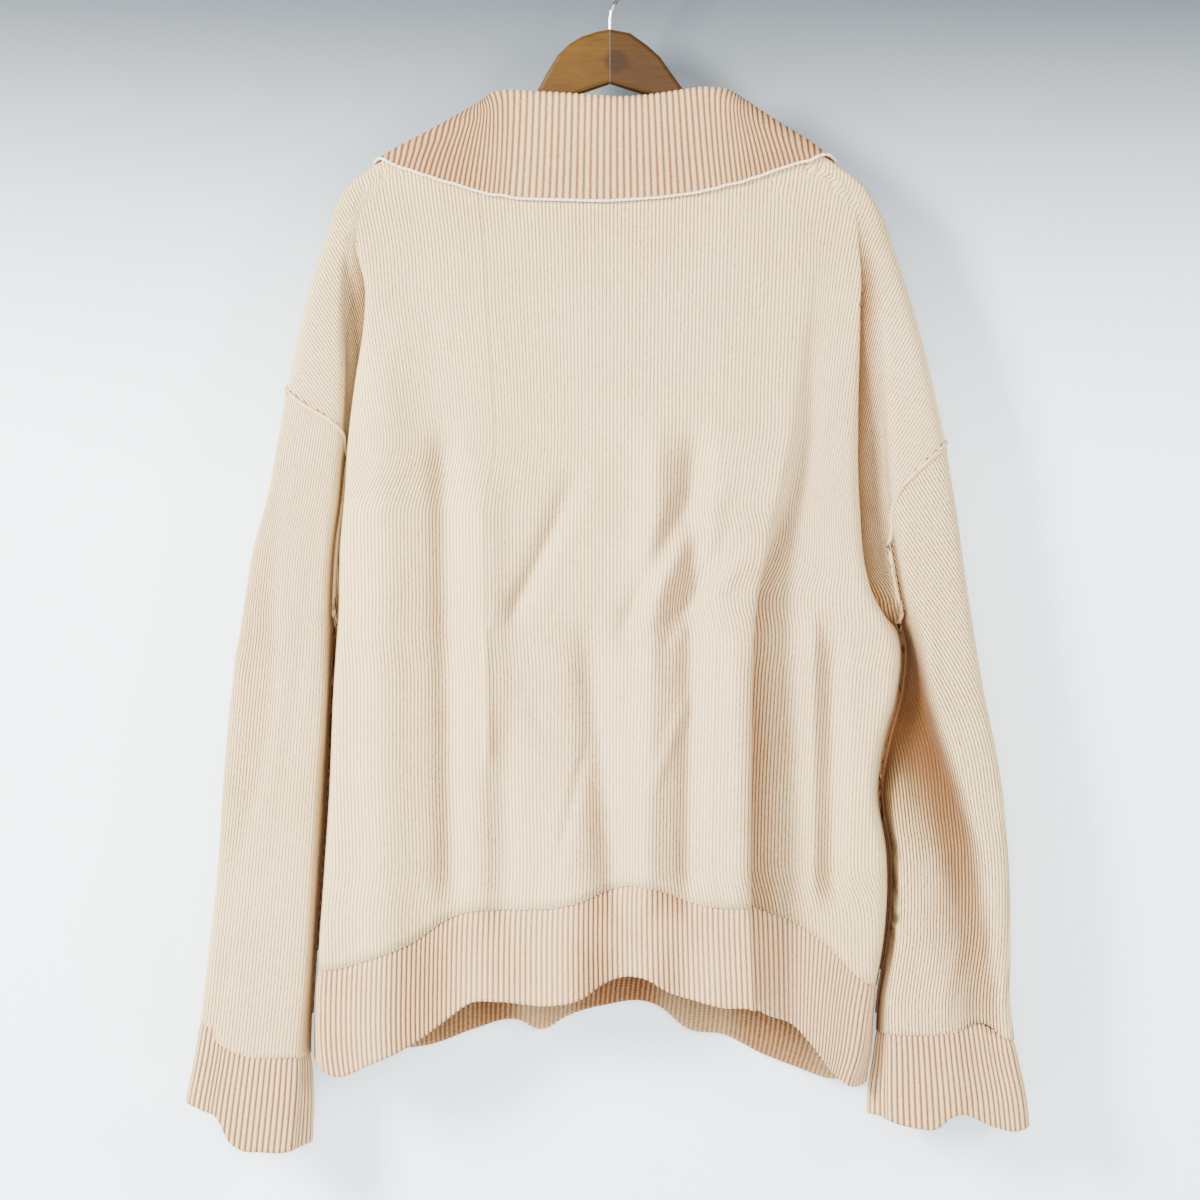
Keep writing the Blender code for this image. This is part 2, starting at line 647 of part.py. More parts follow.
def cuff_rib(name, side, back, front, walls, rows):
    """The rib at the end of a sleeve, open along the same underarm seam as the sleeve."""
    edge, wall_edge = walls[0][-1], walls[1][-1]
    lengths = along(edge)
    places = np.concatenate([SLEEVE_SHARES, -SLEEVE_SHARES[-2::-1]]) * 1.5

    def own(place):
        place = np.clip(abs(place), 0, 1.5)
        return place if side == "left" else 10 - place

    def line(column, low, high):
        one = crossing(back, own(places), lambda x: read(CUFF[side], column, x), low, high)
        one[abs(places) < 0.01] = read(CUFF[side], column, at(back, own(np.array(0.0)), np.array(high))[0])
        return one

    seam = line("start", -900, -820)
    bottom = line("end", -958, -880)

    def lower(share, steps, out):
        place = np.interp(steps * lengths[-1], lengths, places)
        z = np.interp(steps * lengths[-1], lengths, mix(seam, bottom, share))
        behind = keep_side(at(back, own(place), z, out), -1)
        before = keep_side(at(front, own(place), z, out), 1)
        points = np.where((place > 0)[:, None], behind, before)
        inward = ramp(places[0] - abs(place), 0.1, 0)[:, None]
        return points + inward * np.array([-SEAM_GAP if side == "left" else SEAM_GAP, 0, 0])

    return rib_wall(name, edge, wall_edge, lower, rows, lengths)


# The roll's axis where the collar folds, from the left front end round the back of the neck to
# the right front end. down: how far below the back's top edge; the shoulder's top is 0 to -14
# and the front goes on from there.
COLLAR_FOLD = table(
    "x down",
    (-15, -188), (-33, -154), (-57, -108), (-80, -62), (-90, -36), (-96, -20), (-98, -9), (-94, 0),
    (-85, 9), (-74, 10.5), (-40, 12.5), (-4, 15), (7, 16), (32, 14.5), (58, 10), (69, 8.5),
    (82, 7), (94, 0), (99, -9), (97, -20), (91, -36), (80, -62), (57, -108), (33, -154), (15, -188),
)
# The free edge, the same way round; lean is how far its ribs lean out, in degrees.
COLLAR_EDGE = table(
    "x z side lean straight",
    (-93, -347, 1, 60, 1), (-120, -300, 1, 50, 1), (-150, -250, 1, 38, 0.8), (-178, -208, 1, 26, 0.3),
    (-190, -178, 0, 21, 0), (-174, -174, -1, 19, 0), (-144, -184, -1, 16, 0), (-102, -197, -1, 7.5, 0),
    (-73, -202, -1, 4, 0), (-4, -204, -1, 0, 0), (41, -201, -1, -2, 0), (70, -197, -1, -5, 0),
    (98, -190, -1, -8, 0), (127, -181, -1, -13, 0), (151, -173, -1, -17, 0), (168, -167, -1, -20, 0),
    (181, -172, 0, -21, 0), (176, -205, 1, -26, 0.3), (150, -250, 1, -38, 0.8), (120, -300, 1, -50, 1),
    (93, -347, 1, -60, 1),
)
COLLAR_RIBS = 178
FALL_HIDDEN = 2.6
FALL_SHOWN = 4.9
STAND_SHOWN = -2.9
STAND_HIDDEN = -0.3
TOP_FLAT = 14.0


def shoulder_top(x):
    """Height of the shoulder's outer edge at x; level across the neck."""
    left = np.interp(-x, -LEFT["silhouette"], LEFT["z"])
    right = np.interp(x, RIGHT["silhouette"], RIGHT["z"])
    return np.where(x < 0, left, right)


def skin_table(form):
    """Depth of a form's surface over x and distance down from the shoulder's edge."""
    xs = np.arange(-214.0, 209.0, 3.0)
    downs = np.concatenate([np.arange(0, 12, 1.0), np.arange(12, 250, 4.0)])
    points = np.empty((len(xs), len(downs), 3))
    for i, x in enumerate(xs):
        top = float(shoulder_top(x))
        zs = top - np.concatenate([np.arange(0, 10, 0.5), np.arange(10, 262, 3.0)])
        ys = []
        for z in zs:
            row = np.clip((LEVELS[0] - z) / 3.0, 0, len(LEVELS) - 1.001)
            low = int(row)
            found = []
            for level in (low, low + 1):
                line = form["points"][level]
                keep = (PLACES > 0.04) & (PLACES < 9.96)
                line = line[keep]
                order = np.maximum.accumulate(line[:, 0])
                found.append(np.interp(x, order + np.arange(len(order)) * 1e-6, line[:, 1]))
            ys.append(mix(found[0], found[1], row - low))
        ys = np.array(ys)
        run = np.concatenate([[0], np.cumsum(np.hypot(np.diff(ys), np.diff(zs)))])
        points[i, :, 0] = x
        points[i, :, 1] = np.interp(downs, run, ys)
        points[i, :, 2] = np.interp(downs, run, zs)
    for _ in range(6):
        points[1:-1] = (points[:-2] + 2 * points[1:-1] + points[2:]) / 4
        points[:, 1:-1, 1] = (points[:, :-2, 1] + 2 * points[:, 1:-1, 1] + points[:, 2:, 1]) / 4
    return xs, downs, points


def skin_read(skin, x, down):
    xs, downs, points = skin
    i = np.clip((x - xs[0]) / 3.0, 0, len(xs) - 1.001)
    j = np.clip(np.interp(down, downs, np.arange(len(downs))), 0, len(downs) - 1.001)
    u = (i - np.floor(i))[..., None]
    v = (j - np.floor(j))[..., None]
    i = i.astype(int)
    j = j.astype(int)
    top = mix(points[i, j], points[i + 1, j], u)
    low = mix(points[i, j + 1], points[i + 1, j + 1], u)
    return mix(top, low, v)


def over_shoulder(x, down):
    """Point of the body's surface at x and at a distance down the back, or past it over to the front."""
    behind = skin_read(BACK_SKIN, x, np.maximum(down, 0))
    before = skin_read(FRONT_SKIN, x, np.maximum(-TOP_FLAT - down, 0))
    share = ramp_flat(-down / TOP_FLAT)[..., None]
    return mix(behind, before, share)


def ramp_flat(share):
    return np.clip(share, 0, 1)


def skin_at(x, down, out):
    """The same, moved out along the surface's own direction."""
    x, down, out = np.broadcast_arrays(np.asarray(x, float), np.asarray(down, float), np.asarray(out, float))
    step = 3.0
    across = over_shoulder(x + step, down) - over_shoulder(x - step, down)
    along_it = over_shoulder(x, down + step) - over_shoulder(x, down - step)
    normal = unit(np.cross(along_it, across))
    return over_shoulder(x, down) + normal * out[..., None], normal


def down_of(x, z, side):
    """Distance below the back's top edge of a point at x and z; side is -1 behind, 1 in front, 0 on top."""
    if side == 0:
        return -TOP_FLAT / 2
    skin = BACK_SKIN if side < 0 else FRONT_SKIN
    xs, downs, points = skin
    i = int(np.clip(round((x - xs[0]) / 3.0), 0, len(xs) - 1))
    down = float(np.interp(-z, -points[i, :, 2], downs))
    return down if side < 0 else -TOP_FLAT - down


def even_reader(points):
    """A rounded line through points, read by the share of its length."""
    points = rounded(np.asarray(points, float), 3)
    run = along(points)
    run = run / run[-1]
    return lambda share: np.stack([np.interp(share, run, points[:, k]) for k in range(points.shape[1])], -1), run, points


def neck_seam_point(fold):
    """The end of the stand below a point of the fold, on the neck seam."""
    x, down = fold
    way = -1 if x < 0 else 1
    if down >= 0:
        own = x * NECK_SIDE["right"] / 97
        own = np.clip(own, -105, 105)
        found = np.array([own, down_of(own, back_neckline(own), -1)])
    elif down >= -TOP_FLAT:
        found = np.array([way * NECK_SIDE["right"], down])
    else:
        z = over_shoulder(np.array(x), np.array(down))[2] - 5
        share = np.clip((z - V_NECK_DEPTH) / (-130 - V_NECK_DEPTH), 0, 1) ** 0.8
        own = way * NECK_SIDE["right"] * share
        found = np.array([own, down_of(own, z, 1)])
    toward = np.asarray(fold) - found
    lift = 3.2 if down > -TOP_FLAT - 6 else 3.4
    return found + lift * toward / (np.linalg.norm(toward) + 1e-9)


def collar_paths(stations):
    """For each station round the neck: the rib's path down the fall, and the foot of the stand."""
    fold_points = np.stack([COLLAR_FOLD["x"], COLLAR_FOLD["down"]], -1)
    fold, fold_run, fold_line = even_reader(fold_points)
    edge_rows = []
    rows = np.stack(list(COLLAR_EDGE.values()), -1)
    for one, other in zip(rows[:-1], rows[1:]):
        for share in np.linspace(0, 1, 5)[:-1] if one[2] == other[2] else (0.0,):
            x, z, side, lean, straight = mix(one, other, share)
            edge_rows.append((x, down_of(x, z, side), lean, straight))
    x, z, side, lean, straight = rows[-1]
    edge_rows.append((x, down_of(x, z, side), lean, straight))
    edge, edge_run, edge_line = even_reader(edge_rows)

    def share_near(line, run, x, down):
        return run[np.argmin((line[:, 0] - x) ** 2 + (line[:, 1] - down) ** 2)]

    pairs = [(0, 0), (share_near(fold_line, fold_run, -70, -82), share_near(edge_line, edge_run, -190, -7)),
             (share_near(fold_line, fold_run, -94, 0), share_near(edge_line, edge_run, -102, 82)),
             (share_near(fold_line, fold_run, -4, 12.5), share_near(edge_line, edge_run, -4, 90)),
             (share_near(fold_line, fold_run, 94, 0), share_near(edge_line, edge_run, 104, 75)),
             (share_near(fold_line, fold_run, 70, -82), share_near(edge_line, edge_run, 181, -7)), (1, 1)]
    fold_shares, edge_shares = np.array(pairs).T
    fold_knots = np.interp(stations, edge_shares, fold_shares)
    starts = fold(fold_knots)
    ends = edge(stations)
    lean = np.radians(ends[:, 2])
    bent = ends[:, :2] + 47 * np.stack([np.sin(lean), -np.cos(lean)], -1)
    middle = mix(bent, (starts + ends[:, :2]) / 2, ends[:, 3:4])
    feet = np.array([neck_seam_point(point) for point in starts])
    return starts, middle, ends[:, :2], feet


def bend(path, t):
    """Place on a path through its start, middle and end corner."""
    start, middle, end = [corner[:, None, :] for corner in path[:3]]
    t = t[..., None]
    return (1 - t) ** 2 * start + 2 * t * (1 - t) * middle + t ** 2 * end


def fall_steps(path):
    """Where the points lie along each path: close together where it goes over the shoulder."""
    fine = np.linspace(0, 1, 201)
    downs = bend(path, np.broadcast_to(fine, (len(path[0]), 201)))[..., 1]
    marks = (-20.0, -12.5, -1.5, 7.0)
    steps = np.zeros((len(downs), 6))
    steps[:, 5] = 1
    early = mix(0.045, 0.19, ramp(path[0][:, 1], -2, 6))
    late = mix(0.03, 0.19, ramp(path[2][:, 1], -16, -50))
    for row, line in enumerate(downs):
        rising = np.maximum.accumulate(line) + np.arange(201) * 1e-9
        for k, mark in enumerate(marks):
            steps[row, k + 1] = np.clip(np.interp(mark, rising, fine), early[row] * (k + 1), 1 - late[row] * (4 - k))
    return steps


def collar_rows(stations, crest):
    """Rows of the shown and the hidden side of the collar over the stations."""
    path = collar_paths(stations)
    steps = fall_steps(path)
    spots = bend(path, steps)
    shown, normal = skin_at(spots[..., 0], spots[..., 1], FALL_SHOWN + crest[:, None])
    hidden, _ = skin_at(spots[..., 0], spots[..., 1], FALL_HIDDEN)
    n = normal[:, 0]
    down_fall = shown[:, 1] - shown[:, 0]
    w = unit(down_fall - n * np.sum(down_fall * n, -1, keepdims=True))
    axis_out = (FALL_SHOWN + STAND_SHOWN) / 2
    axis = skin_at(path[0][:, 0], path[0][:, 1], axis_out)[0]

    def roll(radius, degrees):
        angle = math.radians(degrees)
        return axis + np.asarray(radius)[..., None] * (-w * math.sin(angle) - n * math.cos(angle))

    radius = (FALL_SHOWN - STAND_SHOWN) / 2 + 0 * crest
    inner = (FALL_HIDDEN - STAND_HIDDEN) / 2 + 0 * crest
    fine = [roll(radius + crest * 0.6, 45), roll(radius + crest, 125)] + [shown[:, k] for k in range(1, 6)]
    feet = path[3]
    coarse = [hidden[:, k] for k in range(5, -1, -1)] + [roll(inner, 90), roll(inner, 0)]
    coarse += [skin_at(feet[:, 0], feet[:, 1], STAND_HIDDEN)[0], skin_at(feet[:, 0], feet[:, 1], STAND_SHOWN)[0]]
    coarse += [roll(radius, 0)]
    return np.array(fine), np.array(coarse)


def collar_mesh(name):
    """The collar as one closed band: fine ribs on the shown side, a plain side behind them."""
    count = 2 * COLLAR_RIBS + 1
    stations = np.linspace(0, 1, count)
    crest = np.where(np.arange(count) % 2 == 1, RIB_HEIGHT, 0.0)
    fine, _ = collar_rows(stations, crest)
    turns = [np.argmin(abs(stations - share)) for share in COARSE_TURNS]
    picks = set(range(0, count, 20)) | {count - 1}
    for turn in turns:
        picks |= {turn + 2 * step for step in (-14, -10, -7, -5, -4, -3, -2, -1, 0, 1, 2, 3, 4, 5, 7, 10, 14)}
    for way, share in zip((1, -1), SHOULDER_TURNS):
        turn = np.argmin(abs(stations - share))
        picks |= {turn + way * step for step in (-12, -6, -2, 2, 6, 12, 18, 24)}
    picks = sorted(pick for pick in picks if 0 <= pick < count)
    coarse_stations = stations[picks]
    _, coarse = collar_rows(coarse_stations, np.zeros(len(picks)))
    first = np.arange(fine[..., 0].size).reshape(fine.shape[:2])
    second = np.arange(coarse[..., 0].size).reshape(coarse.shape[:2]) + first.size
    faces = grid_faces(first) + grid_faces(second)
    faces += strip_between(first[-1], stations, second[0], coarse_stations)
    faces += strip_between(second[-1], coarse_stations, first[0], stations)
    faces.append(tuple(int(k) for k in np.concatenate([first[:, 0], second[:, 0]])))
    faces.append(tuple(int(k) for k in np.concatenate([first[:, -1], second[:, -1]])))
    mesh = bpy.data.meshes.new(name)
    points = np.concatenate([fine.reshape(-1, 3), coarse.reshape(-1, 3)]) * MM
    mesh.from_pydata(points.tolist(), [], faces)
    return mesh


COARSE_TURNS = (0.36, 0.64)
SHOULDER_TURNS = (0.256, 0.744)


# The outline of one wooden half, seen from the back: along the top from the joint to the tip,
# then back along the underside. Millimetres from the hook's seat.
ARM_LEFT = (
    (-0.15, -64), (-11, -66), (-23, -70), (-33, -76), (-42, -85), (-50, -98), (-57, -111), (-64, -121), (-80, -128.5),
    (-95, -134), (-140, -154.5), (-170, -171), (-186, -179.8), (-199, -189.5), (-206, -198), (-211.5, -208),
    (-211, -216), (-200, -213), (-150, -184), (-90, -150), (-50, -128), (-26, -116), (-0.15, -107),
)
ARM_RIGHT = (
    (0.15, -64), (16, -67), (30, -77), (40, -86), (49, -99), (57, -110), (66, -120), (80, -126), (97, -133),
    (118, -142), (160, -166), (178, -178), (194, -190), (202, -198), (206, -207), (205, -216),
    (196, -212), (150, -186), (90, -151), (50, -127), (32, -117), (0.15, -107),
)
WOOD_THICKNESS = 11.0
WOOD_ROUNDING = 3.0
WIRE = 2.8
LOOP_RADIUS = 18.5


def arm_mesh(name, outline):
    """One half of the hanger, cut from a board, its long edges rounded."""
    shape = bmesh.new()
    verts = [shape.verts.new((x * MM, -WOOD_THICKNESS / 2 * MM, z * MM)) for x, z in outline]
    face = shape.faces.new(verts)
    body = bmesh.ops.extrude_face_region(shape, geom=[face])
    moved = [item for item in body["geom"] if isinstance(item, bmesh.types.BMVert)]
    bmesh.ops.translate(shape, verts=moved, vec=(0, WOOD_THICKNESS * MM, 0))
    shape.edges.ensure_lookup_table()
    long_edges = [
        edge for edge in shape.edges
        if abs(edge.verts[0].co.y - edge.verts[1].co.y) < 0.001
        and max(abs(vert.co.x) for vert in edge.verts) > 0.001
    ]
    bmesh.ops.recalc_face_normals(shape, faces=shape.faces[:])
    bmesh.ops.bevel(shape, geom=long_edges, offset=WOOD_ROUNDING * MM, segments=2, profile=0.5, affect="EDGES")
    mesh = bpy.data.meshes.new(name)
    shape.to_mesh(mesh)
    shape.free()
    return mesh


def hook(name, surface):
    """A bent wire: up from the wood, out to the right and round over the rail."""
    centre = -LOOP_RADIUS + WIRE / 2
    path = [(0, -63.6), (0, -55), (0.8, -49), (3, -44), (6.4, -39.6), (11, -33.4)]
    for degrees in range(-32, 197, 12):
        turn = math.radians(degrees)
        path.append((LOOP_RADIUS * math.cos(turn), centre + LOOP_RADIUS * math.sin(turn)))
    curve = bpy.data.curves.new(name, "CURVE")
    curve.dimensions = "3D"
    curve.bevel_depth = WIRE / 2 * MM
    curve.bevel_resolution = 2
    curve.use_fill_caps = True
    line = curve.splines.new("POLY")
    line.points.add(len(path) - 1)
    for point, (x, z) in zip(line.points, path):
        point.co = (x * MM, 0, z * MM, 1)
    thing = bpy.data.objects.new(name, curve)
    curve.materials.append(surface)
    GARMENT.objects.link(thing)
    return thing


def material(name, colour, roughness, metallic=0.0):
    made = bpy.data.materials.new(name)
    made.use_nodes = True
    shader = made.node_tree.nodes["Principled BSDF"]
    shader.inputs["Base Color"].default_value = (*colour, 1.0)
    shader.inputs["Roughness"].default_value = roughness
    shader.inputs["Metallic"].default_value = metallic
    return made


def add(name, mesh, surface, smooth=True):
    """A closed solid with its faces turned outwards."""
    shape = bmesh.new()
    shape.from_mesh(mesh)
    bmesh.ops.triangulate(shape, faces=[face for face in shape.faces if len(face.verts) > 3])
    bmesh.ops.recalc_face_normals(shape, faces=shape.faces[:])
    shape.to_mesh(mesh)
    shape.free()
    for face in mesh.polygons:
        face.use_smooth = smooth
    thing = bpy.data.objects.new(name, mesh)
    thing.data.materials.append(surface)
    GARMENT.objects.link(thing)
    return thing


GARMENT = bpy.data.collections.new("polo_sweater_on_hanger")
bpy.context.scene.collection.children.link(GARMENT)

BODY_KNIT = material("body_knit", (0.74, 0.66, 0.56), 0.9)
RIB_KNIT = material("rib_knit", (0.70, 0.60, 0.50), 0.9)
WOOD = material("wood", (0.25, 0.11, 0.02), 0.45)
STEEL = material("steel", (0.55, 0.55, 0.55), 0.3, 1.0)

BACK = make_form(back_points, BACK_FOLDS, -1)
FRONT = make_form(front_points, FRONT_FOLDS, 1)

mesh, places, walls = panel_wall("back_panel", BACK, BACK_FACE, back_neckline, HEM_BACK)
add("back_panel", mesh, BODY_KNIT)
add("hem_rib_back", hem_rib("hem_rib_back", BACK, HEM_BACK, places, walls, (1.0,)), RIB_KNIT)
mesh, places, walls = panel_wall("front_panel", FRONT, FRONT_FACE, front_neckline, HEM_FRONT)
add("front_panel", mesh, BODY_KNIT)
add("hem_rib_front", hem_rib("hem_rib_front", FRONT, HEM_FRONT, places, walls, (1.0,)), RIB_KNIT)
for side in ("left", "right"):
    mesh, walls = sleeve_wall("sleeve_" + side, side, BACK, FRONT)
    add("sleeve_" + side, mesh, BODY_KNIT)
    add("cuff_" + side, cuff_rib("cuff_" + side, side, BACK, FRONT, walls, (1.0,)), RIB_KNIT)
BACK_SKIN = skin_table(BACK)
FRONT_SKIN = skin_table(FRONT)
add("collar", collar_mesh("collar"), RIB_KNIT)
add("hanger_arm_left", arm_mesh("hanger_arm_left", ARM_LEFT), WOOD)
add("hanger_arm_right", arm_mesh("hanger_arm_right", ARM_RIGHT), WOOD)
hook("hanger_hook", STEEL)
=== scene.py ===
"""The looks of a knitted polo sweater on its wooden hanger, seen from behind."""
import math

import bmesh
import bpy
import numpy as np
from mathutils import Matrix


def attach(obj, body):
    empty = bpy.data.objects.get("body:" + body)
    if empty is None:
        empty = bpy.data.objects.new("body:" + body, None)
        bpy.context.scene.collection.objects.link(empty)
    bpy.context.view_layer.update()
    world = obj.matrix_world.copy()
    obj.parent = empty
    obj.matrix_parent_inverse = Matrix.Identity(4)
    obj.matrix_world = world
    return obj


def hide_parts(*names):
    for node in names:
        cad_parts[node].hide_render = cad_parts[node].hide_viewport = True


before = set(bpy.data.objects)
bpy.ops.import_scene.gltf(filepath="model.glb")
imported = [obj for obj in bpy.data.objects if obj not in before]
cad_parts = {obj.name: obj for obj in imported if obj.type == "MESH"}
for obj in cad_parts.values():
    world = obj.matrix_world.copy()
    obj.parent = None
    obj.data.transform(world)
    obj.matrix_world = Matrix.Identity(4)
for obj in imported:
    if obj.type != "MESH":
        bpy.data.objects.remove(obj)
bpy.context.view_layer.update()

# ---------------------------------------------------------------- how the cloth hangs
# The garment hangs from its shoulders on a wooden hanger. Its outline, its depth and its folds
# are written here in millimetres from the hook's seat, and every knitted piece is laid on them.
# A section at each level runs from the left outer edge, place 0, over the back or the front to the
# right outer edge, place 10. From either edge, the sleeve ends at 1.5 and the body starts at 2.
MM = 0.001
WALL = 2.6
RIB_PITCH = 4.2
RIB_HEIGHT = 0.9
PANEL_WIDTH = 744.0
HALF_PANEL = PANEL_WIDTH / 2
UNDERARM = -534.0
SIDE_CLEAR = 1.6
SLEEVE_END = 1.5
BODY_START = 2.0
PLACE_END = 10
LEVEL_STEP = 3.0


def table(names, *rows):
    """Rows of numbers under named columns, as arrays."""
    return dict(zip(names.split(), np.array(rows, float).T))


def read(rows, name, places):
    """One column of a table as a smooth curve over its first column, held level past the ends."""
    knots = list(rows.values())[0]
    values = rows[name]
    if knots[0] > knots[-1]:
        knots, values = knots[::-1], values[::-1]
    slopes = np.gradient(values, knots)
    places = np.clip(places, knots[0], knots[-1])
    spot = np.clip(np.searchsorted(knots, places) - 1, 0, len(knots) - 2)
    span = knots[spot + 1] - knots[spot]
    t = (places - knots[spot]) / span
    rise = t * t * (3 - 2 * t)
    return (
        (1 - rise) * values[spot]
        + rise * values[spot + 1]
        + t * (1 - t) ** 2 * span * slopes[spot]
        - t * t * (1 - t) * span * slopes[spot + 1]
    )


def ramp(value, start, end):
    """0 at start, 1 at end, eased both ways."""
    t = np.clip((value - start) / (end - start), 0, 1)
    return t * t * (3 - 2 * t)


def mix(one, other, share):
    return one + (other - one) * share


# The outline that the cloth hangs in, both sides, millimetres from the hook's seat.
# silhouette: the outer edge of shoulder and sleeve. sleeve_edge: the edge of the cap and the
# sleeve beside the body. body_edge: the edge of the body beside the sleeve.
LEFT = table(
    "z silhouette sleeve_edge body_edge",
    (-108, -82, -64, -56),
    (-124, -97, -80, -72),
    (-150, -142, -124, -116),
    (-173, -187, -169, -160),
    (-190, -209, -192, -184),
    (-208, -219, -203, -196),
    (-231, -226, -209, -202),
    (-274, -240, -211, -195),
    (-300, -246, -211, -196),
    (-349, -256, -210, -203),
    (-392, -264, -212, -208),
    (-440, -273, -216, -211),
    (-476, -283, -221, -214),
    (-530, -292, -224, -215),
    (-592, -301, -225, -219),
    (-672, -308, -230, -222),
    (-736, -312, -234, -226),
    (-808, -320, -238, -231),
    (-880, -329, -244, -231),
    (-916, -336, -246, -226),
    (-960, -342, -250, -224),
)
RIGHT = table(
    "z silhouette sleeve_edge body_edge",
    (-108, 76, 58, 50),
    (-120, 98, 80, 70),
    (-136, 121, 103, 95),
    (-173, 181, 163, 154),
    (-186, 199, 181, 172),
    (-205, 212, 198, 190),
    (-244, 227, 211, 198),
    (-303, 245, 216, 198),
    (-379, 263, 218, 197),
    (-440, 274, 222, 198),
    (-511, 284, 233, 207),
    (-556, 291, 241, 228),
    (-592, 297, 238, 226),
    (-636, 306, 228, 214),
    (-672, 312, 222, 210),
    (-720, 316, 228, 218),
    (-785, 318, 226, 217),
    (-842, 318, 218, 207),
    (-880, 323, 219, 201),
    (-913, 330, 219, 191),
    (-950, 334, 220, 190),
)
# How far each part of the cloth stands out from the middle plane, behind and in front.
DEPTH = table(
    "z cap_left face_left face_middle face_right cap_right front_cap front_face",
    (-108, 9, 9, 10, 9, 9, 9, 10),
    (-150, 10, 10, 11, 10, 10, 10, 11),
    (-190, 11, 12, 13, 12, 11, 11, 14),
    (-231, 15, 17, 19, 17, 15, 15, 19),
    (-300, 22, 24, 25, 24, 22, 21, 25),
    (-392, 27, 29, 29, 27, 26, 25, 29),
    (-476, 29, 33, 31, 30, 28, 27, 31),
    (-592, 30, 36, 34, 30, 29, 28, 33),
    (-720, 30, 38, 37, 30, 29, 28, 34),
    (-840, 30, 36, 36, 30, 29, 28, 33),
    (-960, 29, 34, 34, 30, 28, 28, 32),
)
# The long fold on the right of the back: a rounded edge that laps over a recess beside it.
LONG_FOLD = table(
    "z edge_x edge_out recess_x recess_out ridge_x ridge_out",
    (-108, 20, 0, 24, 0, 28, 0),
    (-136, 50, 0, 56, 0, 62, 0),
    (-190, 120, 0, 130, 0, 140, 0),
    (-244, 148, 0, 158, -1, 170, 0),
    (-320, 147, 2, 160, -4, 174, 1),
    (-400, 139, 4, 155, -9, 176, 1),
    (-470, 124, 5, 143, -13, 183, 1),
    (-520, 114, 7, 133, -16, 186, 1),
    (-600, 110, 8, 130, -19, 195, 1),
    (-680, 109, 9, 133, -21, 194, 0),
    (-765, 109, 9, 137, -21, 196, 2),
    (-850, 112, 8, 139, -18, 184, 3),
    (-960, 112, 8, 139, -16, 172, 3),
)

# Soft creases on the back, outside face: a line from start to end, how wide and how high it is.
BACK_FOLDS = table(
    "start_x start_z end_x end_z width height",
    (-180, -330, -176, -890, 30, 5.0),
    (-131, -400, -124, -750, 15, -6.5),
    (-124, -800, -121, -900, 26, -3.0),
    (-100, -440, -92, -640, 18, 3.5),
    (-84, -620, -84, -760, 15, -3.5),
    (-30, -690, -30, -900, 28, 4.5),
    (-16, -560, 4, -750, 17, -7.0),
    (6, -800, 12, -900, 26, -4.0),
    (36, -400, 28, -750, 16, 5.0),
    (67, -400, 62, -750, 14, -7.0),
    (60, -800, 46, -900, 26, -4.5),
    (100, -560, 102, -750, 15, 3.5),
    (160, -540, 160, -750, 9, 4.5),
    (177, -560, 177, -750, 10, -4.0),
    (-30, -430, -76, -530, 12, -3.5),
    (60, -440, 12, -540, 10, -4.0),
    (92, -470, 40, -560, 9, -3.5),
    (84, -440, 34, -520, 11, 3.5),
)
FRONT_FOLDS = table(
    "start_x start_z end_x end_z width height",
    (-150, -320, -160, -880, 44, 6.0),
    (-90, -420, -70, -880, 30, -6.0),
    (-20, -460, -30, -880, 36, 6.0),
    (50, -400, 40, -880, 32, -7.0),
    (110, -380, 100, -880, 34, 7.0),
    (170, -420, 165, -880, 30, -5.0),
)
# Where the back of a sleeve sinks in: left of line_x, by deep; fill is how far it comes out again.
RIGHT_RECESS = table(
    "z line_x deep fill",
    (-500, 240, 0, 0), (-530, 244, 4, 0), (-556, 249, 14, 0), (-590, 256, 19, 0), (-622, 265, 20, 0),
    (-646, 273, 19, 0.1), (-681, 284, 17, 0.4), (-720, 294, 15, 0.7), (-771, 301, 12, 0.85),
    (-820, 307, 9, 0.9), (-864, 312, 7, 0.9), (-960, 320, 5, 0.9),
)
LEFT_RECESS = table(
    "z line_x deep fill",
    (-390, -244, 0, 0), (-440, -256, 4, 0), (-500, -260, 6, 0), (-600, -262, 6, 0), (-680, -276, 5, 0),
    (-740, -292, 2, 0), (-800, -305, 0, 0),
)


def own_place(side, place):
    """A place counted from a side's own outer edge, as a place on the section, and the other way."""
    return place if side == "left" else PLACE_END - place


def sunk_at(recess, x, z, edge):
    """How far the back of a sleeve sinks in; edge is how wide the slope into it is."""
    past = read(recess, "line_x", z) - x
    filled = read(recess, "fill", z) * ramp(past, 20, 48)
    return read(recess, "deep", z) * ramp(past, -3, edge) * (1 - filled)


def folds_at(folds, x, z):
    """The height of all the soft folds of a table at these places."""
    height = np.zeros(np.shape(x))
    for row in range(len(folds["width"])):
        start = np.array([folds["start_x"][row], folds["start_z"][row]])
        run = np.array([folds["end_x"][row], folds["end_z"][row]]) - start
        length = np.hypot(*run)
        along = ((x - start[0]) * run[0] + (z - start[1]) * run[1]) / length
        across = ((x - start[0]) * run[1] - (z - start[1]) * run[0]) / length
        width = folds["width"][row]
        fade = ramp(along, -2.2 * width, 1.4 * width)
        fade = fade * ramp(along, length + 2.2 * width, length - 1.4 * width)
        height = height + folds["height"][row] * fade * np.exp(-((across / width) ** 2) * 1.6)
    return height


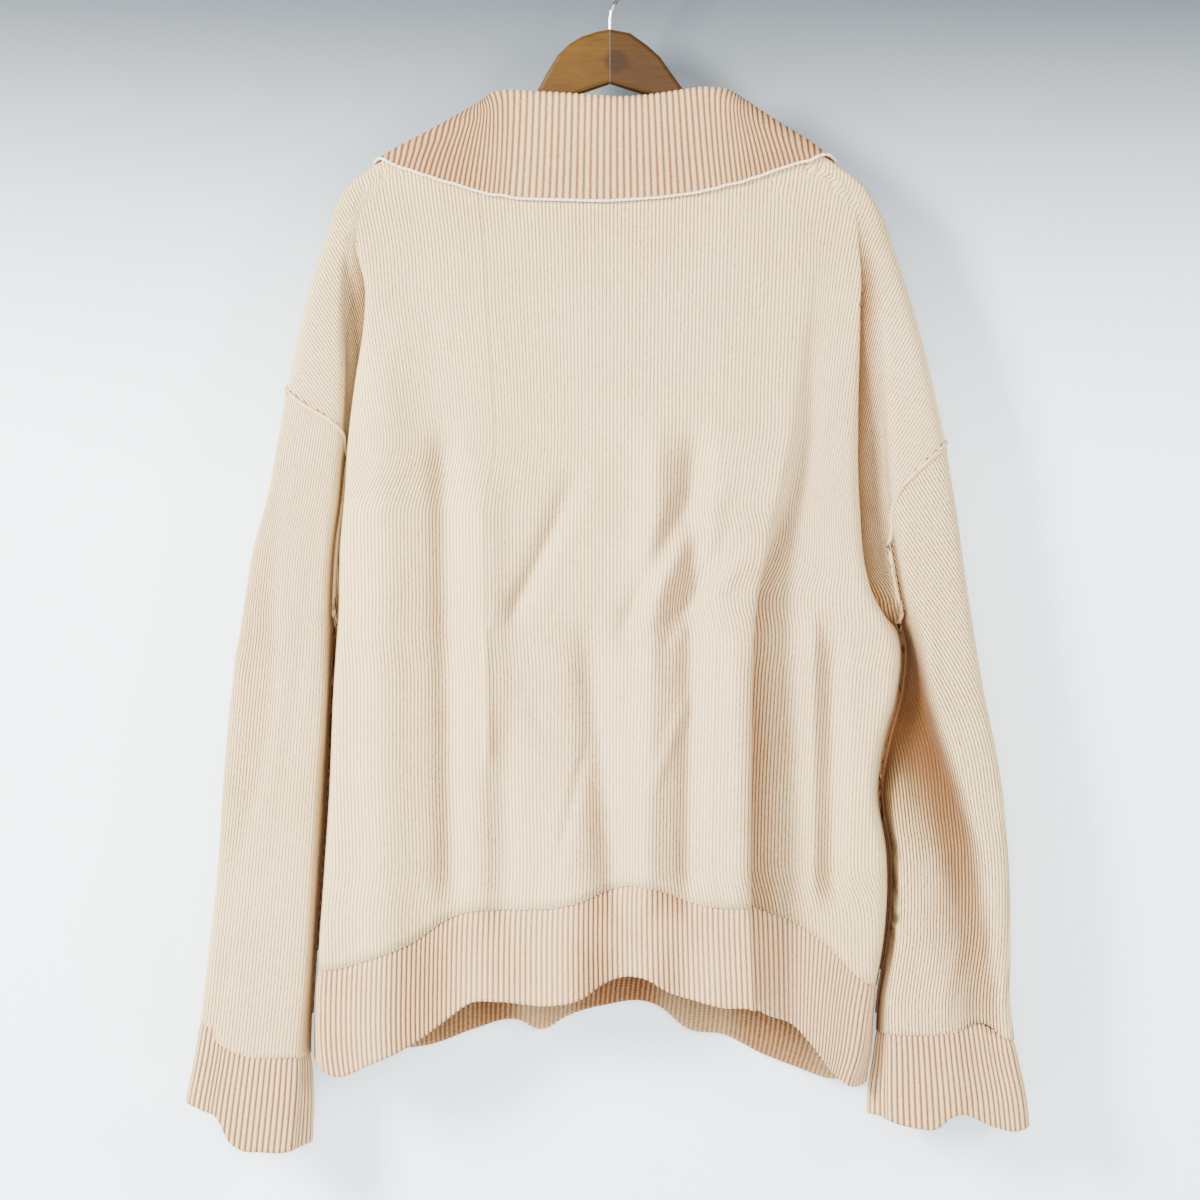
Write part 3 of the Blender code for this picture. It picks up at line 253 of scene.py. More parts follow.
def side_points(outline, z, inward, cap, face, middle_gap):
    """Corners of one side of a section, as place, x, y: outer edge, sleeve, valley, the body's edge."""
    outer = read(outline, "silhouette", z)
    sleeve = read(outline, "sleeve_edge", z)
    body = read(outline, "body_edge", z)
    valley = ramp(z, -214, -290) if inward > 0 else ramp(z, -250, -420)
    apart = ramp(z, UNDERARM + 6, UNDERARM - 10)
    floor = mix(middle_gap, 0.2, apart)
    width = abs(sleeve - outer)
    middle = (sleeve + body) / 2
    ridge = mix(cap, face, 0.5)
    low = mix(ridge, floor, valley)
    rim = mix(ridge, floor + 5, valley)
    sleeve_low = mix(sleeve + inward * 3, middle - inward * SIDE_CLEAR, apart)
    sleeve_rim = mix(sleeve, middle - inward * (SIDE_CLEAR + 0.8), apart)
    body_low = mix(body + inward * 7 * valley, middle + inward * SIDE_CLEAR, apart)
    body_rim = mix(body + inward * 2 * valley, middle + inward * (SIDE_CLEAR + 0.8), apart)
    return [
        (0.0, outer, 0 * z),
        (0.08, outer, 0.72 * cap),
        (0.3, outer + inward * mix(0.3 * width, 8, ramp(z, -200, -240)), cap),
        (0.65, mix(outer, sleeve, 0.62), cap),
        (0.9, sleeve - inward * 2.5, mix(ridge, cap * 0.93, valley)),
        (1.1, sleeve, mix(ridge, cap * 0.6, valley)),
        (1.3, sleeve_rim, rim),
        (1.5, sleeve_low, low),
        (2.0, body_low, low),
        (2.2, body_rim, rim),
        (2.5, body, mix(face, face * 0.62, valley)),
        (2.75, body + inward * 3.0, mix(face, face * 0.93, valley)),
        (3.0, body + inward * 13.0, face),
    ]


def whole_section(left, middle, right, z, way):
    """The corners in order from the left edge to the right; way is -1 behind and 1 in front."""
    mirrored = [(PLACE_END - place, x, y) for place, x, y in reversed(right)]
    return np.array([[place + 0 * z, x, way * y] for place, x, y in left + middle + mirrored])


def back_points(z):
    """Corners of the back's section at the heights z, from the left edge to the right."""
    depth = {name: read(DEPTH, name, z) for name in DEPTH if name != "z"}
    left = side_points(LEFT, z, 1, depth["cap_left"], depth["face_left"], 6.0)
    right = side_points(RIGHT, z, -1, depth["cap_right"], depth["face_right"], 9.0)
    fold = {name: read(LONG_FOLD, name, z) for name in LONG_FOLD if name != "z"}
    base = depth["face_middle"]
    sharp = ramp(z, -430, -540)
    start = left[-1][1]
    crest = base + fold["edge_out"]
    dip = base + fold["recess_out"]
    middle = [
        (3.6, mix(start, fold["edge_x"], 0.3), mix(depth["face_left"], base, 0.5)),
        (4.2, mix(start, fold["edge_x"], 0.6), base),
        (4.8, fold["edge_x"] - 30, mix(base, crest, 0.7)),
        (5.2, fold["edge_x"] - 7, crest),
        (5.4, fold["edge_x"] + 1.5 * sharp, crest),
        (5.6, fold["edge_x"] + mix(6, 2, sharp), mix(crest, dip, mix(0.35, 0.5, sharp))),
        (5.8, fold["edge_x"] + mix(10, -3, sharp), mix(crest, dip, mix(0.8, 0.85, sharp))),
        (6.0, fold["recess_x"] - mix(0, 11, sharp), dip),
        (6.3, fold["recess_x"] + 5, dip),
        (6.6, mix(fold["recess_x"], fold["ridge_x"], 0.6), mix(dip, depth["face_right"], 0.55)),
    ]
    return whole_section(left, middle, right, z, -1)


def front_points(z):
    """Corners of the front's section at the heights z, from the left edge to the right."""
    depth = {name: read(DEPTH, name, z) for name in DEPTH if name != "z"}
    left = side_points(LEFT, z, 1, depth["front_cap"], depth["front_face"], 6.0)
    right = side_points(RIGHT, z, -1, depth["front_cap"], depth["front_face"], 6.0)
    start = left[-1][1]
    end = right[-1][1]
    face = depth["front_face"]
    middle = [(3 + 4 * share, mix(start, end, share), face) for share in (0.25, 0.5, 0.75)]
    return whole_section(left, middle, right, z, 1)


def rounded(points, rounds=5):
    """Corners cut again and again, so that the line through them becomes a soft curve."""
    for _ in range(rounds):
        early = 0.75 * points[:-1] + 0.25 * points[1:]
        late = 0.25 * points[:-1] + 0.75 * points[1:]
        cut = np.empty((2 * len(early),) + points.shape[1:])
        cut[0::2] = early
        cut[1::2] = late
        points = np.concatenate([points[:1], cut, points[-1:]])
    return points


MEETINGS = [SLEEVE_END, BODY_START, PLACE_END - BODY_START, PLACE_END - SLEEVE_END]
PLACES = np.unique(np.concatenate([
    np.linspace(0, 0.1, 9), np.linspace(0.1, 3, 90), np.linspace(3, 7, 241),
    np.linspace(7, 9.9, 90), np.linspace(9.9, 10, 9), MEETINGS]))
LEVELS = np.arange(-108.0, -962.0, -LEVEL_STEP)


def level_of(z):
    """Row of the levels, with its fraction, at these heights."""
    return np.clip((LEVELS[0] - z) / LEVEL_STEP, 0, len(LEVELS) - 1.001)


def make_form(section, folds, outward):
    """One side of the garment as a table of points and outward directions over height and place."""
    dense = rounded(section(LEVELS))
    form = np.empty((len(LEVELS), len(PLACES), 3))
    reach = np.empty((len(LEVELS), len(PLACES)))
    for row, z in enumerate(LEVELS):
        place, x, y = dense[:, :, row].T
        form[row, :, 0] = np.interp(PLACES, place, x)
        form[row, :, 1] = np.interp(PLACES, place, y)
        form[row, :, 2] = z
    on_face = ramp(PLACES, 2.4, 3.2) * ramp(PLACES, 7.6, 6.8)
    form[:, :, 1] += outward * on_face * folds_at(folds, form[:, :, 0], form[:, :, 2])
    if outward < 0:
        for arm, recess in ((PLACES >= MEETINGS[3], RIGHT_RECESS), (PLACES <= SLEEVE_END, LEFT_RECESS)):
            sunk = sunk_at(recess, form[:, :, 0], form[:, :, 2], 12)
            form[:, :, 1] += arm * sunk * np.clip(-form[:, :, 1] / 24, 0, 1)
    step = np.diff(form[:, :, :2], axis=1)
    arc = np.zeros((len(LEVELS), len(PLACES)))
    arc[:, 1:] = np.cumsum(np.hypot(step[:, :, 0], step[:, :, 1]), 1)
    for row in range(len(LEVELS)):
        middle = (PLACES > 3) & (PLACES < 5.1)
        reach[row] = arc[row] - np.interp(0, form[row, middle, 0], arc[row, middle])
    down = np.gradient(form, axis=0)
    across = np.gradient(form, axis=1)
    parts = np.gradient(form, axis=1)
    cuts = [0, *np.searchsorted(PLACES, MEETINGS), len(PLACES) - 1]
    for start, end in zip(cuts[0::2], cuts[1::2]):
        parts[:, start:end + 1] = np.gradient(form[:, start:end + 1], axis=1)
    apart = LEVELS < UNDERARM - 3
    across[apart] = parts[apart]
    normal = np.cross(across, down) * outward
    normal /= np.linalg.norm(normal, axis=2, keepdims=True) + 1e-12
    return {"points": form, "normals": normal, "reach": reach, "folds": folds}


def at(form, place, z, out=0.0):
    """Points of a form at these places and heights, moved out along the surface's own direction."""
    row = level_of(z)
    column = np.clip(np.searchsorted(PLACES, place, side="right") - 1, 0, len(PLACES) - 2)
    v = row - np.floor(row)
    row = np.floor(row).astype(int)
    u = (place - PLACES[column]) / (PLACES[column + 1] - PLACES[column])
    found = []
    for grid in (form["points"], form["normals"]):
        top = mix(grid[row, column], grid[row, column + 1], u[..., None])
        low = mix(grid[row + 1, column], grid[row + 1, column + 1], u[..., None])
        found.append(mix(top, low, v[..., None]))
    points, normals = found
    normals = normals / (np.linalg.norm(normals, axis=-1, keepdims=True) + 1e-12)
    return points + normals * np.asarray(out)[..., None] * np.ones(points.shape)


# Armhole seams on the back: the place on the section where each one lies, down the garment.
ARMHOLE = {
    "left": table(
        "z place",
        (-348.9, 0), (-354, 0.12), (-366, 0.45), (-378, 0.78), (-388, 1.0), (-398, 1.3), (-405, 1.5),
    ),
    "right": table(
        "z place",
        (-392.9, 0), (-399, 0.18), (-406, 0.36), (-416, 0.56), (-428, 0.76), (-440, 0.9), (-452, 1.05),
        (-474, 1.5),
    ),
}
# Lower edges by place across: where the rib begins and where it ends.
HEM_BACK = table(
    "x seam bottom",
    (-233, -812, -886), (-218, -811, -895), (-190, -803, -886), (-152, -788, -867), (-126, -771, -848),
    (-112, -766, -838), (-87, -764, -836), (-50, -763, -839), (-22, -757, -833), (-6, -750, -822),
    (14, -745, -816), (30, -746, -819), (45, -750, -828), (64, -758, -834), (90, -762, -840),
    (110, -762, -841), (125, -768, -849), (147, -776, -858), (160, -784, -872), (178, -798, -895),
    (194, -818, -906), (214, -828, -900),
)
HEM_FRONT = table(
    "x seam bottom",
    (-233, -812, -886), (-215, -813, -896), (-190, -808, -888), (-141, -800, -880), (-110, -790, -868),
    (-74, -782, -860), (-57, -786, -868), (-34, -780, -858), (-8, -772, -850), (42, -772, -850),
    (60, -784, -866), (94, -790, -874), (123, -800, -888), (150, -808, -898), (180, -820, -908),
    (214, -828, -902),
)
CUFF = {
    "left": table(
        "x start end",
        (-345, -851, -915), (-322, -853, -923), (-309, -857, -931), (-302, -866, -946),
        (-294, -871, -953), (-275, -878, -956), (-260, -881, -957), (-240, -882, -953),
    ),
    "right": table(
        "x start end",
        (214, -864, -930), (226, -864, -934), (245, -862, -938), (258, -860, -938), (270, -856, -929),
        (280, -855, -927), (292, -858, -932), (306, -866, -938), (318, -869, -940), (336, -872, -936),
    ),
}
NECK_SIDE = 107.0
NECK_TOP = -130.0
BACK_NECK_DROP = 20.0
V_NECK_DEPTH = -312.0


def panel_edge(side, z):
    """Place where a body panel starts: the shoulder's edge, the armhole seam, the side seam."""
    seam = ARMHOLE[side]
    armhole = np.interp(-z, -seam["z"], seam["place"])
    return mix(armhole, BODY_START, ramp(z, UNDERARM + 4, UNDERARM - (12 if side == "left" else 22)))


def sleeve_edge(side, z):
    """Place where the sleeve ends beside the body: the armhole seam, then the underarm seam."""
    last = ARMHOLE[side]["place"][-1]
    return mix(last, SLEEVE_END, ramp(z, UNDERARM + 4, UNDERARM - 12))


def crossing(form, places, rows, name):
    """The height at which each place meets the line that a table gives over x."""
    top = np.full(places.shape, rows[name].max() + 40)
    bottom = np.full(places.shape, rows[name].min() - 40)
    for _ in range(30):
        middle = (top + bottom) / 2
        above = middle > read(rows, name, at(form, places, middle)[..., 0])
        top = np.where(above, middle, top)
        bottom = np.where(above, bottom, middle)
    return (top + bottom) / 2


def back_neckline(x):
    return NECK_TOP - BACK_NECK_DROP * np.sqrt(np.clip(1 - (x / NECK_SIDE) ** 2, 0, 1))


def front_neckline(x):
    return mix(V_NECK_DEPTH, NECK_TOP, np.clip(abs(x) / NECK_SIDE, 0, 1) ** 1.25)


def along(points):
    """Length along a row of points, from its first."""
    return np.concatenate([[0], np.cumsum(np.linalg.norm(np.diff(points, axis=0), axis=1))])


def down_run(grid):
    """Length down each column of a grid of points, from its first row."""
    steps = np.linalg.norm(np.diff(grid, axis=0), axis=2)
    return np.concatenate([np.zeros((1, grid.shape[1])), np.cumsum(steps, 0)])


def unit(vectors):
    return vectors / (np.linalg.norm(vectors, axis=-1, keepdims=True) + 1e-12)


BACK = make_form(back_points, BACK_FOLDS, -1)
FRONT = make_form(front_points, FRONT_FOLDS, 1)


# ---------------------------------------------------------------- yarn
# A soft, slightly hairy wool and cotton yarn, cream, a little darker where the knit is dense; painted shade
# darkens it in the lines between wales and in creases, recesses and gaps.


class Value:
    """A shader socket that can be added, multiplied and compared like a number."""

    def __init__(self, nodes, socket):
        self.nodes = nodes
        self.socket = socket

    def math(self, operation, *others):
        node = self.nodes.tree.nodes.new("ShaderNodeMath")
        node.operation = operation
        for place, value in enumerate((self, *others)):
            self.nodes.put(node.inputs[place], value)
        return Value(self.nodes, node.outputs[0])

    def __add__(self, other):
        return self.math("ADD", other)

    def __sub__(self, other):
        return self.math("SUBTRACT", other)

    def __mul__(self, other):
        return self.math("MULTIPLY", other)

    def __pow__(self, other):
        return self.math("POWER", other)

    def __rsub__(self, other):
        return self * -1.0 + other

    def sin(self):
        return self.math("SINE")

    def abs(self):
        return self.math("ABSOLUTE")

    def fraction(self):
        return self.math("FRACT")

    def step(self, low, high):
        """0 below low, 1 above high, soft between."""
        return self.nodes.add(
            "ShaderNodeMapRange", {"interpolation_type": "SMOOTHSTEP"},
            {"Value": self, "From Min": low, "From Max": high}, "Result")


class Nodes:
    """The nodes of one material."""

    def __init__(self, name):
        self.material = bpy.data.materials.new(name)
        self.material.use_nodes = True
        self.tree = self.material.node_tree
        self.shader = self.tree.nodes["Principled BSDF"]

    def put(self, socket, value):
        if isinstance(value, Value):
            self.tree.links.new(value.socket, socket)
        else:
            socket.default_value = value

    def add(self, kind, settings, values, output=0):
        node = self.tree.nodes.new(kind)
        for name, value in settings.items():
            setattr(node, name, value)
        for name, value in values.items():
            self.put(node.inputs[name], value)
        return Value(self, node.outputs[output])

    def apart(self, vector):
        node = self.tree.nodes.new("ShaderNodeSeparateXYZ")
        self.put(node.inputs[0], vector)
        return [Value(self, output) for output in node.outputs]

    def place(self):
        return self.add("ShaderNodeTexCoord", {}, {}, "Object")

    def kept(self, name):
        """Numbers kept on the mesh under a name."""
        return self.add("ShaderNodeAttribute", {"attribute_name": name}, {}, "Vector")

    def noise(self, vector, scale, detail=3.0, roughness=0.55):
        return self.add("ShaderNodeTexNoise", {}, {
            "Vector": vector, "Scale": scale, "Detail": detail, "Roughness": roughness}, "Fac")

    def mixed(self, share, one, other):
        node = self.tree.nodes.new("ShaderNodeMix")
        node.data_type = "RGBA"
        self.put(node.inputs["Factor"], share)
        for wanted, value in (("A_Color", one), ("B_Color", other)):
            socket = next(s for s in node.inputs if s.identifier == wanted)
            self.put(socket, value if isinstance(value, Value) else (*value, 1.0))
        return Value(self, next(s for s in node.outputs if s.identifier == "Result_Color"))

    def bump(self, height, distance):
        normal = self.add("ShaderNodeBump", {}, {"Height": height, "Distance": distance}, "Normal")
        self.put(self.shader.inputs["Normal"], normal)

    def surface(self, **values):
        """Settings of the surface, a word each with underscores for spaces."""
        for name, value in values.items():
            self.shader.inputs[name.replace("_", " ")].default_value = value


def linear(red, green, blue):
    """A screen colour, 0 to 255, as the light it gives."""
    return tuple(((c / 255 + 0.055) / 1.055) ** 2.4 for c in (red, green, blue))


def knit_material(name, light, lightest, dark, groove_shade):
    """A knitted yarn: pale wales with painted shade in the lines between them, loops along them, hairs and
    patches; dark is the colour of painted shade, laid in those lines and wherever the mesh carries painted
    shade.
    """
    light, lightest, dark = linear(*light), linear(*lightest), linear(*dark)
    nodes = Nodes(name)
    place = nodes.place()
    wale, course, painted_shade = nodes.apart(nodes.kept("knit"))
    fuzz = nodes.noise(place, 1500.0, 4.0, 0.7)
    yarn = nodes.noise(place, 300.0, 2.0)
    patch = nodes.noise(place, 11.0, 3.0)
    broad = nodes.noise(place, 4.0, 2.0)
    across = ((wale + (yarn - 0.5) * 0.22).fraction() - 0.5).abs()
    groove = across.step(0.2, 0.48)
    loop = ((course + across * 1.2 + (yarn - 0.5) * 0.4) * (2 * math.pi)).sin() * 0.5 + 0.5
    uneven = nodes.noise(place, 520.0, 3.0, 0.7)
    line = groove * (uneven * 2.4 - 0.25) * (1.0 - loop * 0.45)
    # Painted shade: the lines between wales and the painted shade kept on the mesh pull the colour towards
    # dark.
    shade = 1.0 - line * groove_shade - painted_shade + (fuzz - 0.5) * 0.7 + (patch - 0.5) * 0.3 - loop * 0.1
    tinted = nodes.mixed(broad.step(0.35, 0.65), light, lightest)
    nodes.put(nodes.shader.inputs["Base Color"], nodes.mixed(shade.step(-0.15, 1.15), dark, tinted))
    nodes.surface(Roughness=0.92, Specular_IOR_Level=0.12, Sheen_Weight=0.05, Sheen_Roughness=0.5)
    nodes.bump((1.0 - groove) * 0.8 + loop * 0.25 + fuzz * 0.3, 0.001)
    return nodes.material


def placed(name, data):
    """A new object in the scene, at the origin."""
    thing = bpy.data.objects.new(name, data)
    bpy.context.scene.collection.objects.link(thing)
    return thing


def turned(points, knit, painted_shade):
    """A piece's grid with its columns the other way round, so that its wall faces inwards."""
    return points[:, ::-1], [part[:, ::-1] for part in knit], painted_shade[:, ::-1]


def cloth(name, points, knit, painted_shade, surface, thickness=WALL):
    """A knitted piece from a grid of points, its wall inwards.

    At each point, knit gives the wales and courses from the piece's start, and the third grid how much
    painted shade it gets.
    """
    rows, columns = points.shape[:2]
    shape = bmesh.new()
    bmesh.ops.create_grid(shape, x_segments=columns - 1, y_segments=rows - 1, size=1.0)
    mesh = bpy.data.meshes.new(name)
    shape.to_mesh(mesh)
    shape.free()
    spots = np.empty(len(mesh.vertices) * 3)
    mesh.vertices.foreach_get("co", spots)
    spots = spots.reshape(-1, 3)
    column = np.rint((spots[:, 0] + 1) / 2 * (columns - 1)).astype(int)
    row = np.rint((1 - spots[:, 1]) / 2 * (rows - 1)).astype(int)
    mesh.vertices.foreach_set("co", (points[row, column] * MM).ravel())
    kept = mesh.attributes.new("knit", "FLOAT_VECTOR", "POINT")
    values = np.stack([numbers[row, column] for numbers in (*knit, painted_shade)], -1)
    kept.data.foreach_set("vector", values.ravel())
    mesh.polygons.foreach_set("use_smooth", np.ones(len(mesh.polygons), bool))
    mesh.materials.append(surface)
    mesh.update()
    thing = placed(name, mesh)
    wall = thing.modifiers.new("wall", "SOLIDIFY")
    wall.thickness = thickness * MM
    wall.offset = -1.0
    return thing


def cord(name, points, thickness, waves, pitch, yarn):
    """A round cord of yarn through points, thicker and thinner by waves at every pitch points."""
    curve = bpy.data.curves.new(name, "CURVE")
    curve.dimensions = "3D"
    curve.bevel_depth = thickness * MM
    curve.bevel_resolution = 2
    curve.use_fill_caps = True
    line = curve.splines.new("POLY")
    line.points.add(len(points) - 1)
    for number, (point, spot) in enumerate(zip(line.points, points)):
        point.co = (*(spot * MM), 1)
        point.radius = 1.0 + waves * math.sin(2 * math.pi * number / pitch)
    curve.materials.append(yarn)
    return placed(name, curve)


# ---------------------------------------------------------------- back and front
# Two plain-knit panels, wales running down, that reach past the shoulders to dropped armholes.
# They are linked at the shoulders and down the sides.
WALE = 2.9
COURSE = 2.3
ROWS_DOWN = 92
NECK_HALF = 101.0
HEM_LEVEL = -812.0
WALE_HIGH = 0.45
KNIT_BEFORE = 400


def shoulder_run(outline, way, last_z):
    """Width of the panel, in its own flat measure, that has come down to each level at the outer edge."""
    run = along(np.stack([read(outline, "silhouette", LEVELS), LEVELS], -1))
    start = np.interp(-NECK_TOP, -LEVELS, run)
    end = np.interp(-last_z, -LEVELS, run)
    flat = NECK_HALF + (run - start) / (end - start) * (HALF_PANEL - NECK_HALF)
    return way * flat


RUN_LEFT = shoulder_run(LEFT, -1, ARMHOLE["left"]["z"][0])
RUN_RIGHT = shoulder_run(RIGHT, 1, ARMHOLE["right"]["z"][0])


def wale_places(form, wales):
    """Place on the section of every wale at every level."""
    found = np.empty((len(LEVELS), len(wales)))
    for row, z in enumerate(LEVELS):
        stretch = np.interp(-z, (150, 350, 800), (1.07, 1.0, 0.96))
        ends = [own_place(side, float(panel_edge(side, z))) for side in ("left", "right")]
        places = PLACES[(PLACES > ends[0] + 0.02) & (PLACES < ends[1] - 0.02)]
        places = np.concatenate([ends[:1], places, ends[1:]])
        reach = np.interp(places, PLACES, form["reach"][row])
        flats = reach / stretch
        for side, run, rim in (("left", RUN_LEFT[row], 0), ("right", RUN_RIGHT[row], -1)):
            low = ARMHOLE[side]["z"][-1]
            more = (run - form["reach"][row][rim] / stretch) * ramp(z, low - 50, low + 20)
            own = own_place(side, places)
            flats = flats + more * (0.35 * ramp(own, 4.2, 2.6) + 0.65 * ramp(own, 2.6, 1.3))
        flats = np.maximum.accumulate(flats + np.arange(len(flats)) * 1e-5)
        found[row] = np.interp(wales, flats, places)
    return found


def panel_top(wales, neckline):
    """Height of a panel's upper edge at every wale: neck, then shoulder."""
    apart = np.arange(len(LEVELS)) * 1e-6
    left = np.interp(wales, (RUN_LEFT - apart)[::-1], LEVELS[::-1])
    right = np.interp(wales, RUN_RIGHT + apart, LEVELS)
    shoulder = np.where(wales < 0, left, right)
    neck = neckline(wales * NECK_SIDE / NECK_HALF)
    return np.where(abs(wales) < NECK_HALF, neck, np.minimum(shoulder, NECK_TOP))


def bell(distance, width):
    """1 at no distance, falling off softly on both sides."""
    return np.exp(-((distance / width) ** 2))


def slope_at(folds, x, z):
    """How steeply folds rise to the right at these places."""
    return (folds_at(folds, x + 2, z) - folds_at(folds, x - 2, z)) / 4


def shaded(form, places, z, folds, creases):
    """Painted shade on the yarn of a panel: in the valley between sleeve and body, in the long recess, on
    the flank right of the long fold, over the upper back, and on crease slopes that face right, away from
    the left lamp.
    """
    x = at(form, places, z)[..., 0]
    # deep sets how much painted shade the side valleys get by height, top is painted shade over the upper
    # back, flank is painted shade right of the long fold.
    deep = ramp(z, -200, -290)
    top = 0.1 * ramp(z, -380, -210)
    valley = bell(places - BODY_START, 0.42) + bell(places - PLACE_END + BODY_START, 0.42)
    recess = bell(places - 5.95, 0.22) * ramp(z, -330, -480)
    slope = slope_at(folds, x, z) + slope_at(creases, x, z)
    flank = ramp(x, 88, 118) * ramp(x, 176, 136) * ramp(z, -420, -520) * 0.17
    return 0.85 * valley * deep + 0.3 * recess + flank + top + np.clip(-slope * 0.62, -0.12, 0.32)


def between_levels(by_level, z):
    """Numbers kept for every level and column, read at these heights."""
    row = level_of(z)
    level = row.astype(int)
    column = np.broadcast_to(np.arange(z.shape[1]), z.shape)
    return mix(by_level[level, column], by_level[level + 1, column], row - level)


def panel_points(form, neckline, hem, creases):
    """Points, wales and courses of a panel, its wales raised a little, and its painted shade."""
    count = 2 * int(round(PANEL_WIDTH / WALE)) + 1
    wales = np.linspace(-HALF_PANEL, HALF_PANEL, count)
    by_level = wale_places(form, wales)
    top = panel_top(wales, neckline)
    low = crossing(form, by_level[int(level_of(HEM_LEVEL))], hem, "seam")
    z = mix(top, low, np.linspace(0, 1, ROWS_DOWN)[:, None] ** 1.7)
    places = between_levels(by_level, z)
    points = at(form, places, z)
    spread = np.linalg.norm(np.gradient(points, axis=1), axis=2) / (WALE / 2)
    raised = np.where(np.arange(count) % 2 == 1, WALE_HIGH, 0.0) * np.clip(spread * 1.6 - 0.6, 0, 1)
    points = at(form, places, z, raised + folds_at(creases, points[..., 0], z))
    courses = (down_run(points) + KNIT_BEFORE) / COURSE
    knit = (np.broadcast_to(wales / WALE, z.shape), courses)
    return points, knit, shaded(form, places, z, form["folds"], creases), places[-1]


# Small creases, drawn only here and not in the solids.
FINE_BACK = table(
    "start_x start_z end_x end_z width height",
    (-98, -545, -96, -640, 5, 2.0),
    (-40, -456, -76, -530, 6, -2.0),
    (104, -475, 20, -560, 6, -2.4),
    (98, -500, 24, -585, 7, 2.2),
    (86, -520, 10, -600, 7, -2.0),
    (-60, -612, -46, -616, 5, -2.2),
    (-20, -640, -40, -720, 6, -1.8),
    (60, -600, 36, -660, 6, 1.8),
)
FINE_FRONT = table(
    "start_x start_z end_x end_z width height",
    (60, -500, 20, -640, 10, 1.5),
    (-80, -520, -40, -660, 10, -1.5),
)

# The last colour of each yarn is its painted shade, and the number is how strong the painted shade in the
# lines between wales is; the twisted yarn of the right sleeve gets more of it.
BODY_YARN = knit_material("body_yarn", (241, 211, 162), (239, 213, 157), (112, 64, 20), 0.7)
TWISTED_YARN = knit_material("twisted_yarn", (241, 211, 162), (239, 213, 157), (102, 64, 32), 1.0)
ROLL_YARN = knit_material("roll_yarn", (238, 208, 160), (236, 210, 156), (150, 108, 66), 0.3)
# A dark brown yarn for the side and underarm seam rolls: painted shade of the gap between sleeve and body.
GAP_SHADE_YARN = knit_material("gap_shade_yarn", (122, 86, 54), (118, 82, 50), (72, 42, 18), 0.2)

*back_grid, back_places = panel_points(BACK, back_neckline, HEM_BACK, FINE_BACK)
back = cloth("back", *back_grid, BODY_YARN)
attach(back, "root")
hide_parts("back_panel")

*front_grid, front_places = panel_points(FRONT, front_neckline, HEM_FRONT, FINE_FRONT)
front = cloth("front", *turned(*front_grid), BODY_YARN)
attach(front, "root")
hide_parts("front_panel")


# ---------------------------------------------------------------- sleeves
# Plain-knit tubes, linked to the dropped armholes with a raised seam and closed under the arm.
# Their wales run down the arm.
SLEEVE_ROWS_DOWN = 104
HALF_WALES = 48
TWISTED_WALE = 2.75
SLANT = 0.5
SLEEVE_WALE_HIGH = 0.4
SLEEVE_LOW = -860.0
TUCK = 5.0


def cuff_line(side, form, share, name, level):
    """Height of the cuff's start or end at shares of the way from the shoulder line to the underarm."""
    line = crossing(form, own_place(side, share * SLEEVE_END), CUFF[side], name)
    line[-1] = read(CUFF[side], name, at(form, own_place(side, np.array(0.0)), np.array(level))[0])
    return line


def half_sleeve(side, form, count):
    """Places and heights of one half of a sleeve, from its underarm edge to the shoulder line."""
    seam = ARMHOLE[side]
    share = np.linspace(1, 0, count)
    fine = np.linspace(0, 1, 200)
    own = fine * seam["place"][-1]
    run = along(at(form, own_place(side, own), np.interp(own, seam["place"], seam["z"])))
    places = np.interp(share * run[-1], run, own)
    top = np.interp(places, seam["place"], seam["z"])
    low = cuff_line(side, form, share, "start", SLEEVE_LOW)
    down = np.linspace(0, 1, SLEEVE_ROWS_DOWN)[:, None]
    z = mix(top, low, down) + np.where(down == 0, TUCK, 0.0)
    spread = np.empty((len(LEVELS), count))
    for row, level in enumerate(LEVELS):
        own = fine * sleeve_edge(side, level)
        run = along(at(form, own_place(side, own), np.full(len(own), level)))
        spread[row] = np.interp(share * run[-1], run, own)
    return own_place(side, mix(places, between_levels(spread, z), ramp(down, 0, 0.2))), z


def round_arm(halves, axis=0):
    """A back half and a front half, each from the underarm to the shoulder line, as one round."""
    back_half, front_half = halves
    rest = np.flip(front_half, axis).take(range(1, front_half.shape[axis]), axis)
    return np.concatenate([back_half, rest], axis)


def twisted(across, z):
    """Wales of the right sleeve: it hangs twisted, so they run slanting down to its outer edge."""
    step = 2.0
    fine = np.arange(-380, -961, -step)
    middle = (read(RIGHT, "silhouette", fine) + read(RIGHT, "sleeve_edge", fine)) / 2
    shift = middle + np.cumsum(SLANT * step * ramp(fine, -690, -540))
    return (across - np.interp(-z, -fine, shift)) * (1 - 0.12 * ramp(z, -690, -540)) / TWISTED_WALE


